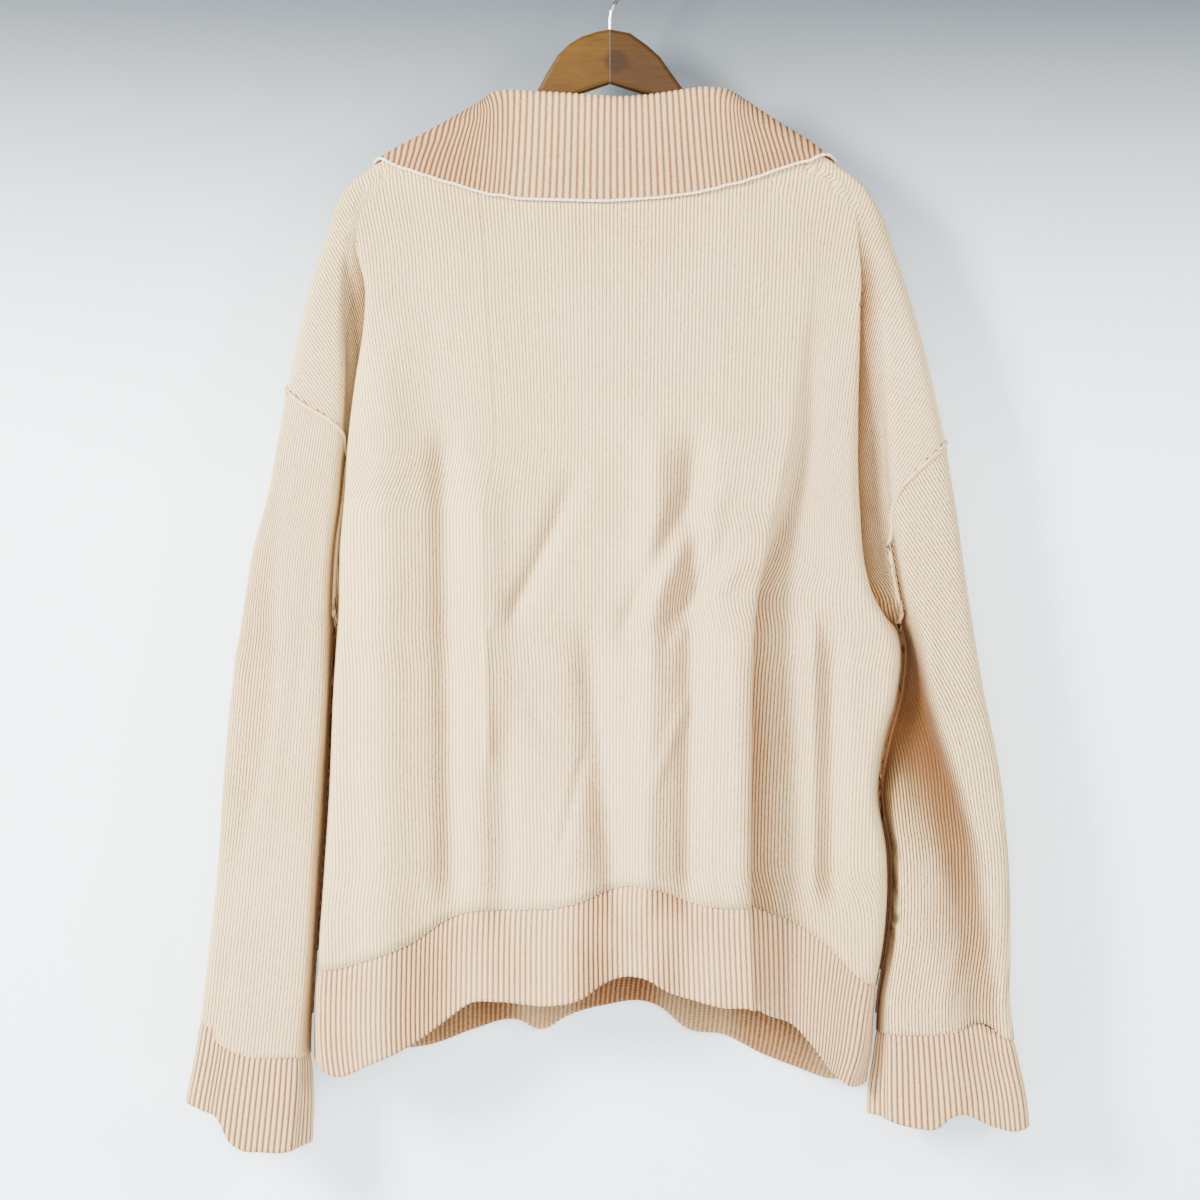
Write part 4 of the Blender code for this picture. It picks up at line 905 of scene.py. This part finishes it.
def sleeve_points(side, creases):
    """Points, knit and painted shade of a sleeve, its wales raised a little and its cap lapping the seam;
    the painted shade lies along the underarm edge and in its sunken back.
    """
    half = 2 * HALF_WALES + 1
    row = np.arange(SLEEVE_ROWS_DOWN)[:, None]
    seam = np.where(row == 0, -1.4, 0.9 * bell(row - 1, 1.2))
    # dark: how much painted shade the sunken back of the sleeve gets for each millimetre it sinks.
    recess, dark = (RIGHT_RECESS, 0.05) if side == "right" else (LEFT_RECESS, 0.036)
    walls = []
    painted_shades = []
    for form in (BACK, FRONT):
        places, z = half_sleeve(side, form, half)
        x = at(form, places, z)[..., 0]
        upright = ramp(z, -620, -780) if side == "right" else 1.0
        out = np.where(np.arange(half) % 2 == 1, SLEEVE_WALE_HIGH, 0.0) * upright + seam
        # Painted shade along the underarm edge, in the gap beside the body.
        painted_shade = 0.8 * ramp(abs(own_place(side, places) - SLEEVE_END), 0.5, 0.0)
        if form is BACK:
            out = out + folds_at(creases, x, z)
            painted_shade = painted_shade + dark * sunk_at(recess, x, z, 9)
        walls.append(at(form, places, z, out))
        painted_shades.append(painted_shade)
    around = round_arm(walls, 1)
    wales = np.linspace(-HALF_WALES, HALF_WALES, around.shape[1]) + np.zeros(around.shape[:2])
    if side == "right":
        steps = np.diff(around[..., :2], axis=1, prepend=around[:, :1, :2])
        unrolled = np.cumsum(np.linalg.norm(steps, axis=2), axis=1)
        shoulder = slice(half - 1, half)
        wales = twisted(around[:, shoulder, 0] + unrolled - unrolled[:, shoulder], around[..., 2])
    return around, (wales, down_run(around) / COURSE), round_arm(painted_shades, 1)


SLEEVE_FOLDS = {
    "left": table(
        "start_x start_z end_x end_z width height",
        (-232, -470, -262, -700, 8, -1.2),
        (-294, -565, -290, -588, 6, 2.0),
        (-300, -800, -312, -850, 9, -2.0),
    ),
    "right": table(
        "start_x start_z end_x end_z width height",
        (252, -545, 256, -600, 7, 1.6),
        (256, -600, 292, -760, 9, 1.6),
        (240, -640, 262, -800, 12, -3.0),
        (222, -772, 262, -774, 5, -1.6),
    ),
}

sleeves = {}
for side in ("left", "right"):
    grid = sleeve_points(side, SLEEVE_FOLDS[side])
    if side == "left":
        grid = turned(*grid)
    yarn = TWISTED_YARN if side == "right" else BODY_YARN
    sleeves[side] = cloth("sleeve_on_" + side, *grid, yarn)
    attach(sleeves[side], "root")
    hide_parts("sleeve_" + side)


# ---------------------------------------------------------------- seams
# Linked seams: the two edges are joined loop by loop and stand up as a soft roll.
ROLL_RADIUS = 1.7
ROLL_LOW = {"left": -800, "right": -815}
ROLL_OUT = 0.9
ARMPIT_OUT = 0.3
SIDE_IN = -0.3


def seam_roll(name, points, yarn):
    """One seam's roll, a little uneven from stitch to stitch."""
    roll = cord(name, points, ROLL_RADIUS, 0.05, 2 * math.pi / 1.9, yarn)
    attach(roll, "root")


for side in ("left", "right"):
    seam = ARMHOLE[side]
    own = np.linspace(0.015, 1, 160) * seam["place"][-1]
    rise = np.interp(own, seam["place"], seam["z"])
    # The side seam's roll is in the dark yarn, as painted shade of the gap.
    parts = (
        ("armpit_seam_", seam["z"][-1], UNDERARM - 4, ARMPIT_OUT, ROLL_YARN),
        ("side_seam_", UNDERARM - 4, ROLL_LOW[side], SIDE_IN, GAP_SHADE_YARN),
    )
    for form, word in ((BACK, "behind"), (FRONT, "in_front")):
        ending = side + "_" + word
        seam_roll("armhole_seam_" + ending, at(form, own_place(side, own), rise, ROLL_OUT), ROLL_YARN)
        for name, top, low, out, yarn in parts:
            levels = np.linspace(top, low, 100)
            seam_roll(name + ending, at(form, own_place(side, panel_edge(side, levels)), levels, out), yarn)
        # The underarm seam's roll is in the dark yarn too, as painted shade of the gap.
        levels = np.linspace(UNDERARM, SLEEVE_LOW + 10, 120)
        places = np.full(len(levels), own_place(side, SLEEVE_END))
        seam_roll("underarm_seam_" + ending, at(form, places, levels, SIDE_IN), GAP_SHADE_YARN)


# ---------------------------------------------------------------- hem rib
# A 1x1 rib knitted on along the lower edge of each panel and joined at the side seams.
# It draws the body in a little and its lower edge waves.
RIB_YARN = knit_material("rib_yarn", (222, 186, 142), (220, 188, 139), (108, 62, 28), 0.3)
RIB_ROUND = np.array([0.0, 0.55, 1.0, 1.0, 0.55])
RIB_POINTS = len(RIB_ROUND)
RIB_ROWS = 26
RIB_TUCKED = -1.6
RIB_BELOW = 0.6


def rib_hang(run, places, seam, bottom):
    """A round-ribbed band that hangs from an edge: places, share of the way down, heights, how far
    it stands out, knit, and the round of each rib. run is the length along the edge; seam and bottom
    are the heights where the band starts and ends. Its first row is tucked up inside the panel.
    """
    ribs = int(round(run[-1] / RIB_PITCH))
    steps = np.linspace(0, 1, RIB_POINTS * ribs + 1)
    crest = np.append(np.tile(RIB_ROUND, ribs), 0.0)
    place, top, low = (np.interp(steps * run[-1], run, values) for values in (places, seam, bottom))
    down = np.linspace(0, 1, RIB_ROWS)[:, None]
    z = mix(top - RIB_BELOW, low, down) + np.where(down == 0, TUCK, 0.0)
    out = crest * RIB_HEIGHT * (0.65 + 0.35 * ramp(down, 0, 0.08))
    return place, down, z, out, (np.broadcast_to(steps * ribs, z.shape), (top - z) / COURSE), crest


def hem_grid(form, hem, places):
    """The hem rib below a panel's last row: drawn in at the seam, turned out a little at its edge."""
    seam = crossing(form, places, hem, "seam")
    bottom = crossing(form, places, hem, "bottom")
    run = along(at(form, places, seam))
    place, down, z, out, knit, crest = rib_hang(run, places, seam, bottom)
    out = out + np.where(down == 0, RIB_TUCKED, 0.3 * bell(1 - down, 1 / 14) - 0.9 * bell(down, 1 / 9))
    points = at(form, np.broadcast_to(place, z.shape), z, out)
    slope = slope_at(form["folds"], points[..., 0], z)
    # Painted shade between the ribs and on fold slopes that face right.
    return points, knit, (1 - crest) ** 1.3 * 0.6 + np.clip(-slope, -0.12, 0.3)


hem_back = cloth("hem_rib_behind", *hem_grid(BACK, HEM_BACK, back_places), RIB_YARN)
hem_front = cloth("hem_rib_in_front", *turned(*hem_grid(FRONT, HEM_FRONT, front_places)), RIB_YARN)
for piece, node in ((hem_back, "hem_rib_back"), (hem_front, "hem_rib_front")):
    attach(piece, "root")
    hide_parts(node)


# ---------------------------------------------------------------- cuffs
# The same 1x1 rib at the end of each sleeve, closed along the underarm seam.
CUFF_MIDDLE = -880.0


def cuff_grid(side):
    """A cuff's band round the arm, from the underarm seam behind to the same seam in front."""
    share = np.linspace(1, 0, 2 * HALF_WALES + 1)
    start = cuff_line(side, BACK, share, "start", CUFF_MIDDLE)
    end = cuff_line(side, BACK, share, "end", CUFF_MIDDLE)
    own = share * SLEEVE_END
    run = along(round_arm([at(form, own_place(side, own), start) for form in (BACK, FRONT)]))
    # Places count as negative in front, until the two sides are read.
    around = [round_arm(halves) for halves in ((own, -own), (start, start), (end, end))]
    place, down, z, out, knit, crest = rib_hang(run, *around)
    out = np.where(down == 0, RIB_TUCKED, out - 0.8 * bell(down, 1 / 9))
    wide = np.broadcast_to(own_place(side, abs(place)), z.shape)
    points = np.where((place > 0)[None, :, None], at(BACK, wide, z, out), at(FRONT, wide, z, out))
    # Painted shade between the ribs.
    return points, knit, np.broadcast_to((1 - crest) ** 1.3 * 0.7, z.shape)


cuffs = {}
for side in ("left", "right"):
    grid = cuff_grid(side)
    if side == "left":
        grid = turned(*grid)
    cuffs[side] = cloth("cuff_on_" + side, *grid, RIB_YARN)
    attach(cuffs[side], "root")
    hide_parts("cuff_" + side)


# ---------------------------------------------------------------- collar
# One band of 1x1 rib linked round the neck, folded over and lying on the shoulders. Its ribs
# run from the fold to the free edge, which is bound off with a thin cord.
COLLAR_RIBS = 178
COLLAR_WALL = 2.2
FALL_SHOWN = 4.9
STAND_SHOWN = -2.9
TOP_FLAT = 14.0
SKIN_STEP = 3.0
RIB_STRAIGHT = 47

# The roll's axis where the collar folds, from the left front end round the back of the neck to
# the right front end. down: how far below the back's top edge; the shoulder's top is 0 to -14
# and the front goes on from there.
COLLAR_FOLD = table(
    "x down",
    (-15, -188), (-33, -154), (-57, -108), (-80, -62), (-90, -36), (-96, -20), (-98, -9), (-94, 0),
    (-85, 9), (-74, 10.5), (-40, 12.5), (-4, 15), (7, 16), (32, 14.5), (58, 10), (69, 8.5),
    (82, 7), (94, 0), (99, -9), (97, -20), (91, -36), (80, -62), (57, -108), (33, -154), (15, -188),
)
# The free edge, the same way round; lean is how far its ribs lean out, in degrees.
COLLAR_EDGE = table(
    "x z side lean straight",
    (-93, -347, 1, 60, 1), (-120, -300, 1, 50, 1), (-150, -250, 1, 38, 0.8), (-178, -208, 1, 26, 0.3),
    (-190, -178, 0, 21, 0), (-174, -174, -1, 19, 0), (-144, -184, -1, 16, 0), (-102, -197, -1, 7.5, 0),
    (-73, -202, -1, 4, 0), (-4, -204, -1, 0, 0), (41, -201, -1, -2, 0), (70, -197, -1, -5, 0),
    (98, -190, -1, -8, 0), (127, -181, -1, -13, 0), (151, -173, -1, -17, 0), (168, -167, -1, -20, 0),
    (181, -172, 0, -21, 0), (176, -205, 1, -26, 0.3), (150, -250, 1, -38, 0.8), (120, -300, 1, -50, 1),
    (93, -347, 1, -60, 1),
)
# Points of the fold and of the free edge that the same rib joins.
COLLAR_MEETS = table(
    "fold_x fold_down edge_x edge_down",
    (-70, -82, -190, -7), (-94, 0, -102, 82), (-4, 12.5, -4, 90), (94, 0, 104, 75), (70, -82, 181, -7),
)


def shoulder_top(x):
    """Height of the shoulder's outer edge at x; level across the neck."""
    left = np.interp(-x, -LEFT["silhouette"], LEFT["z"])
    right = np.interp(x, RIGHT["silhouette"], RIGHT["z"])
    return np.where(x < 0, left, right)


def skin_table(form):
    """Points of a form's surface over x and the distance down from the shoulder's edge."""
    xs = np.arange(-214.0, 209.0, SKIN_STEP)
    downs = np.concatenate([np.arange(0, 12, 1.0), np.arange(12, 250, 4.0)])
    drops = np.concatenate([np.arange(0, 10, 0.5), np.arange(10, 262, 3.0)])
    lines = form["points"][:, (PLACES > 0.04) & (PLACES < 9.96)]
    across = np.maximum.accumulate(lines[..., 0], axis=1) + np.arange(lines.shape[1]) * 1e-6
    points = np.empty((len(xs), len(downs), 3))
    for i, x in enumerate(xs):
        zs = float(shoulder_top(x)) - drops
        depths = np.array([np.interp(x, *line) for line in zip(across, lines[..., 1])])
        row = level_of(zs)
        low = row.astype(int)
        ys = mix(depths[low], depths[low + 1], row - low)
        run = along(np.stack([ys, zs], -1))
        points[i] = np.stack([x + 0 * downs, np.interp(downs, run, ys), np.interp(downs, run, zs)], -1)
    for _ in range(6):
        points[1:-1] = (points[:-2] + 2 * points[1:-1] + points[2:]) / 4
        points[:, 1:-1, 1] = (points[:, :-2, 1] + 2 * points[:, 1:-1, 1] + points[:, 2:, 1]) / 4
    return xs, downs, points


def skin_read(skin, x, down):
    """Point of the surface at x and at a distance down."""
    xs, downs, points = skin
    i = np.clip((x - xs[0]) / SKIN_STEP, 0, len(xs) - 1.001)
    j = np.clip(np.interp(down, downs, np.arange(len(downs))), 0, len(downs) - 1.001)
    u = (i - np.floor(i))[..., None]
    v = (j - np.floor(j))[..., None]
    i = i.astype(int)
    j = j.astype(int)
    top = mix(points[i, j], points[i + 1, j], u)
    low = mix(points[i, j + 1], points[i + 1, j + 1], u)
    return mix(top, low, v)


def over_shoulder(x, down):
    """Point of the body's surface at x and at a distance down the back, or past it over to the front."""
    behind = skin_read(BACK_SKIN, x, np.maximum(down, 0))
    before = skin_read(FRONT_SKIN, x, np.maximum(-TOP_FLAT - down, 0))
    return mix(behind, before, np.clip(-down / TOP_FLAT, 0, 1)[..., None])


def skin_at(x, down, out):
    """The same, moved out along the surface's own direction; and that direction."""
    across = over_shoulder(x + SKIN_STEP, down) - over_shoulder(x - SKIN_STEP, down)
    downward = over_shoulder(x, down + SKIN_STEP) - over_shoulder(x, down - SKIN_STEP)
    normal = unit(np.cross(downward, across))
    return over_shoulder(x, down) + normal * np.asarray(out)[..., None], normal


def down_of(x, z, side):
    """Distance below the back's top edge of a point at x and z; side is -1 behind, 1 in front, 0 on top."""
    if side == 0:
        return -TOP_FLAT / 2
    xs, downs, points = BACK_SKIN if side < 0 else FRONT_SKIN
    i = int(np.clip(round((x - xs[0]) / SKIN_STEP), 0, len(xs) - 1))
    down = float(np.interp(-z, -points[i, :, 2], downs))
    return down if side < 0 else -TOP_FLAT - down


def evenly(points):
    """A rounded line through points, and the share of its length at each of them."""
    points = rounded(np.asarray(points, float), 3)
    run = along(points)
    return points, run / run[-1]


def line_at(line, run, shares):
    """A line's columns at shares of its length."""
    return np.stack([np.interp(shares, run, column) for column in line.T], -1)


def shares_near(line, run, xs, downs):
    """Shares of a line's length at its points nearest to these, and both ends."""
    gaps = (line[:, 0] - xs[:, None]) ** 2 + (line[:, 1] - downs[:, None]) ** 2
    return np.array([0, *run[np.argmin(gaps, axis=1)], 1])


def neck_seam_point(fold):
    """The end of the stand below a point of the fold, on the neck seam."""
    x, down = fold
    way = -1 if x < 0 else 1
    if down >= 0:
        own = np.clip(x * NECK_SIDE / 97, -105, 105)
        found = np.array([own, down_of(own, back_neckline(own), -1)])
    elif down >= -TOP_FLAT:
        found = np.array([way * NECK_SIDE, down])
    else:
        z = over_shoulder(np.array(x), np.array(down))[2] - 5
        share = np.clip((z - V_NECK_DEPTH) / (NECK_TOP - V_NECK_DEPTH), 0, 1) ** 0.8
        own = way * NECK_SIDE * share
        found = np.array([own, down_of(own, z, 1)])
    toward = np.asarray(fold) - found
    lift = 3.2 if down > -TOP_FLAT - 6 else 3.4
    return found + lift * toward / (np.linalg.norm(toward) + 1e-9)


def collar_paths(stations):
    """For each station round the neck: the rib's path down the fall, and the foot of the stand."""
    fold, fold_run = evenly(np.stack(list(COLLAR_FOLD.values()), -1))
    rows = np.stack(list(COLLAR_EDGE.values()), -1)
    corners = []
    for one, other in zip(rows[:-1], rows[1:]):
        shares = np.linspace(0, 1, 5)[:-1] if one[2] == other[2] else (0.0,)
        corners += [mix(one, other, share) for share in shares]
    edge, edge_run = evenly([
        (x, down_of(x, z, side), lean, straight) for x, z, side, lean, straight in [*corners, rows[-1]]])
    fold_shares = shares_near(fold, fold_run, COLLAR_MEETS["fold_x"], COLLAR_MEETS["fold_down"])
    edge_shares = shares_near(edge, edge_run, COLLAR_MEETS["edge_x"], COLLAR_MEETS["edge_down"])
    starts = line_at(fold, fold_run, np.interp(stations, edge_shares, fold_shares))
    ends = line_at(edge, edge_run, stations)
    lean = np.radians(ends[:, 2])
    bent = ends[:, :2] + RIB_STRAIGHT * np.stack([np.sin(lean), -np.cos(lean)], -1)
    middle = mix(bent, (starts + ends[:, :2]) / 2, ends[:, 3:4])
    feet = np.array([neck_seam_point(point) for point in starts])
    return starts, middle, ends[:, :2], feet


def bend(path, t):
    """Place on a path through its start, middle and end corner."""
    start, middle, end = [corner[:, None, :] for corner in path[:3]]
    t = t[..., None]
    return (1 - t) ** 2 * start + 2 * t * (1 - t) * middle + t ** 2 * end


def collar_points():
    """The collar as one sheet: up the stand, over the roll and down the fall."""
    count = RIB_POINTS * COLLAR_RIBS + 1
    crest = np.append(np.tile(RIB_ROUND, COLLAR_RIBS), 0.0) * RIB_HEIGHT
    path = collar_paths(np.linspace(0, 1, count))
    steps = np.broadcast_to(np.concatenate([[0], np.linspace(0.03, 1, 40)]), (count, 41))
    spots = bend(path, steps)
    bare, normal = skin_at(spots[..., 0], spots[..., 1], FALL_SHOWN - 1.5 * ramp(steps, 0.85, 1.0))
    shown = bare + normal * (crest[:, None] * (1 - 0.5 * ramp(steps, 0.97, 1.0)))[..., None]
    out = normal[:, 0]
    fall = bare[:, 2] - bare[:, 0]
    downward = unit(fall - out * np.sum(fall * out, -1, keepdims=True))
    axis = skin_at(*path[0].T, (FALL_SHOWN + STAND_SHOWN) / 2)[0]
    radius = (FALL_SHOWN - STAND_SHOWN) / 2
    feet = skin_at(*path[3].T, STAND_SHOWN)[0]
    rows = [mix(feet, axis - out * radius, share) for share in np.linspace(0, 1, 7)[:-1]]
    for degrees in range(0, 180, 20):
        angle = math.radians(degrees)
        size = (radius + crest * min(degrees / 60, 1))[:, None]
        rows.append(axis - size * (downward * math.sin(angle) + out * math.cos(angle)))
    points = np.concatenate([np.array(rows), shown.transpose(1, 0, 2)])
    wales = np.broadcast_to(np.linspace(0, COLLAR_RIBS, count), points.shape[:2])
    # Painted shade: between the ribs, a little over the whole collar, and more towards the sides.
    painted_shade = (1 - crest / RIB_HEIGHT) ** 1.3 * 0.4 + 0.23 + 0.24 * ramp(abs(points[..., 0]), 60, 150)
    return points, (wales, down_run(points) / COURSE), painted_shade


BACK_SKIN = skin_table(BACK)
FRONT_SKIN = skin_table(FRONT)
collar_grid = collar_points()
collar = cloth("collar_folded", *collar_grid, RIB_YARN, thickness=COLLAR_WALL)
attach(collar, "root")
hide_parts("collar")

# The bound-off edge: a thin round cord of the same yarn, scalloped at every rib.
BEAD_RADIUS = 1.15
BEAD_YARN = knit_material("bead_yarn", (240, 224, 206), (240, 226, 208), (180, 148, 118), 0.3)
bound_edge = cord("collar_bound_edge", collar_grid[0][-1], BEAD_RADIUS, 0.16, RIB_POINTS, BEAD_YARN)
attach(bound_edge, "root")


# ---------------------------------------------------------------- wooden hanger
# Two halves sawn from brown-stained hardwood, glued at the middle, edges rounded, varnished.
KNOT_X = 0.005
KNOT_Z = -0.09
GRAIN = (60.0, 200.0, 420.0)


def wood_material(name, light, dark):
    """Dark wood with grain along the arm and one knot beside the hook."""
    nodes = Nodes(name)
    place = nodes.place()
    x, _, z = nodes.apart(place)
    warp = nodes.noise(place, 14.0, 3.0)
    stretched = nodes.add("ShaderNodeVectorMath", {"operation": "MULTIPLY"}, {0: place, 1: GRAIN})
    grain = nodes.noise(stretched, 1.0, 5.0, 0.6)
    streak = nodes.noise(stretched, 0.25, 2.0)
    near = ((x - KNOT_X) * (x - KNOT_X) + (z - KNOT_Z) * (z - KNOT_Z)) ** 0.5
    dark_spot = 1.0 - near.step(0.002, 0.012)
    shade = (grain * 0.5 + streak * 0.4 + warp * 0.3 - dark_spot * 0.7).step(0.2, 0.95)
    nodes.put(nodes.shader.inputs["Base Color"], nodes.mixed(shade, dark, light))
    nodes.surface(Roughness=0.5, Specular_IOR_Level=0.18, Coat_Weight=0.06, Coat_Roughness=0.2)
    nodes.bump(grain, 0.0002)
    return nodes.material


def coat(node, material):
    """The solid of a piece in its finish."""
    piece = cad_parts[node]
    piece.data.materials.clear()
    piece.data.materials.append(material)


for node, light, dark in (
    ("hanger_arm_left", (0.078, 0.034, 0.0), (0.032, 0.012, 0.0)),
    ("hanger_arm_right", (0.048, 0.019, 0.0), (0.022, 0.008, 0.0)),
):
    coat(node, wood_material(node + "_wood", light, dark))


# ---------------------------------------------------------------- hook
# A bright steel wire, bent cold and pushed into the wood.
steel = Nodes("hook_steel")
scratch = steel.noise(steel.place(), 300.0, 3.0)
steel.put(steel.shader.inputs["Roughness"], scratch * 0.15 + 0.18)
steel.surface(Base_Color=(0.22, 0.22, 0.22, 1), Metallic=1.0)
coat("hanger_hook", steel.material)


# ---------------------------------------------------------------- room, light and camera
# The wall's glow is painted light that brightens it, its darker top is painted shade, and it can't be seen
# from behind.
WALL_PAINTED_LIGHT = 0.45


def plane(name, corners, colour, see_through_behind=False, shaded_top_colour=None):
    """A flat painted face. Where it has a second colour, it turns to that colour towards the top, as
    painted shade, and glows with its colour, as painted light.
    """
    mesh = bpy.data.meshes.new(name)
    mesh.from_pydata(corners, [], [tuple(range(len(corners)))])
    nodes = Nodes(name + "_paint")
    nodes.surface(Base_Color=(*colour, 1), Roughness=0.9)
    if shaded_top_colour:
        height = nodes.apart(nodes.place())[2]
        paint = nodes.mixed(height.step(-0.48, 0.02), colour, shaded_top_colour)
        nodes.put(nodes.shader.inputs["Base Color"], paint)
        nodes.put(nodes.shader.inputs["Emission Color"], paint)
        # Painted light: the face glows with its own colour.
        nodes.surface(Emission_Strength=WALL_PAINTED_LIGHT)
    if see_through_behind:
        clear = nodes.tree.nodes.new("ShaderNodeBsdfTransparent")
        side = nodes.tree.nodes.new("ShaderNodeNewGeometry")
        blend = nodes.tree.nodes.new("ShaderNodeMixShader")
        nodes.tree.links.new(side.outputs["Backfacing"], blend.inputs[0])
        nodes.tree.links.new(nodes.shader.outputs[0], blend.inputs[1])
        nodes.tree.links.new(clear.outputs[0], blend.inputs[2])
        nodes.tree.links.new(blend.outputs[0], nodes.tree.nodes["Material Output"].inputs[0])
    mesh.materials.append(nodes.material)
    placed(name, mesh)


WALL_Y = 0.043
FLOOR_Z = -1.4
corners = [(-3, WALL_Y, FLOOR_Z), (3, WALL_Y, FLOOR_Z), (3, WALL_Y, 1.6), (-3, WALL_Y, 1.6)]
# The wall's second colour is painted shade at its top.
plane("wall", corners, (0.82, 0.93, 1.0), True, (0.045, 0.056, 0.066))
corners = [(-3, -4, FLOOR_Z), (3, -4, FLOOR_Z), (3, 3, FLOOR_Z), (-3, 3, FLOOR_Z)]
plane("floor", corners, (0.84, 0.87, 0.9))

CAMERA_AWAY = 2.1
PICTURE_WIDTH = 0.96
SENSOR = 36
camera = placed("camera", bpy.data.cameras.new("camera"))
camera.location = (-0.008, -CAMERA_AWAY, -0.52)
camera.rotation_euler = (math.pi / 2, 0, 0)
camera.data.sensor_width = SENSOR
camera.data.lens = SENSOR * CAMERA_AWAY / PICTURE_WIDTH
bpy.context.scene.camera = camera


def lamp(name, place, aim, size, power, colour):
    """A flat lamp at a place, turned to what it lights."""
    light = bpy.data.lights.new(name, "AREA")
    light.shape = "RECTANGLE"
    light.size, light.size_y = size
    light.energy = power
    light.color = colour
    thing = placed(name, light)
    thing.location = place
    way = np.array(aim) - np.array(place)
    flat = math.hypot(way[0], way[1])
    thing.rotation_euler = (math.atan2(flat, -way[2]), 0, math.atan2(-way[0], way[1]))


lamp("left", (-1.6, -1.3, 0.2), (0, 0, -0.55), (0.5, 0.8), 195, (1.0, 0.985, 0.97))
lamp("right", (1.55, -1.3, 0.0), (0, 0, -0.55), (0.4, 0.8), 45, (1.0, 0.99, 0.98))
lamp("front", (0.1, -2.6, -0.2), (0, 0, -0.6), (1.2, 0.8), 56, (1.0, 0.99, 0.98))

room = bpy.data.worlds.new("room")
room.use_nodes = True
sky = room.node_tree.nodes["Background"].inputs
sky["Color"].default_value = (1.0, 0.95, 0.89, 1)
sky["Strength"].default_value = 0.36
bpy.context.scene.world = room
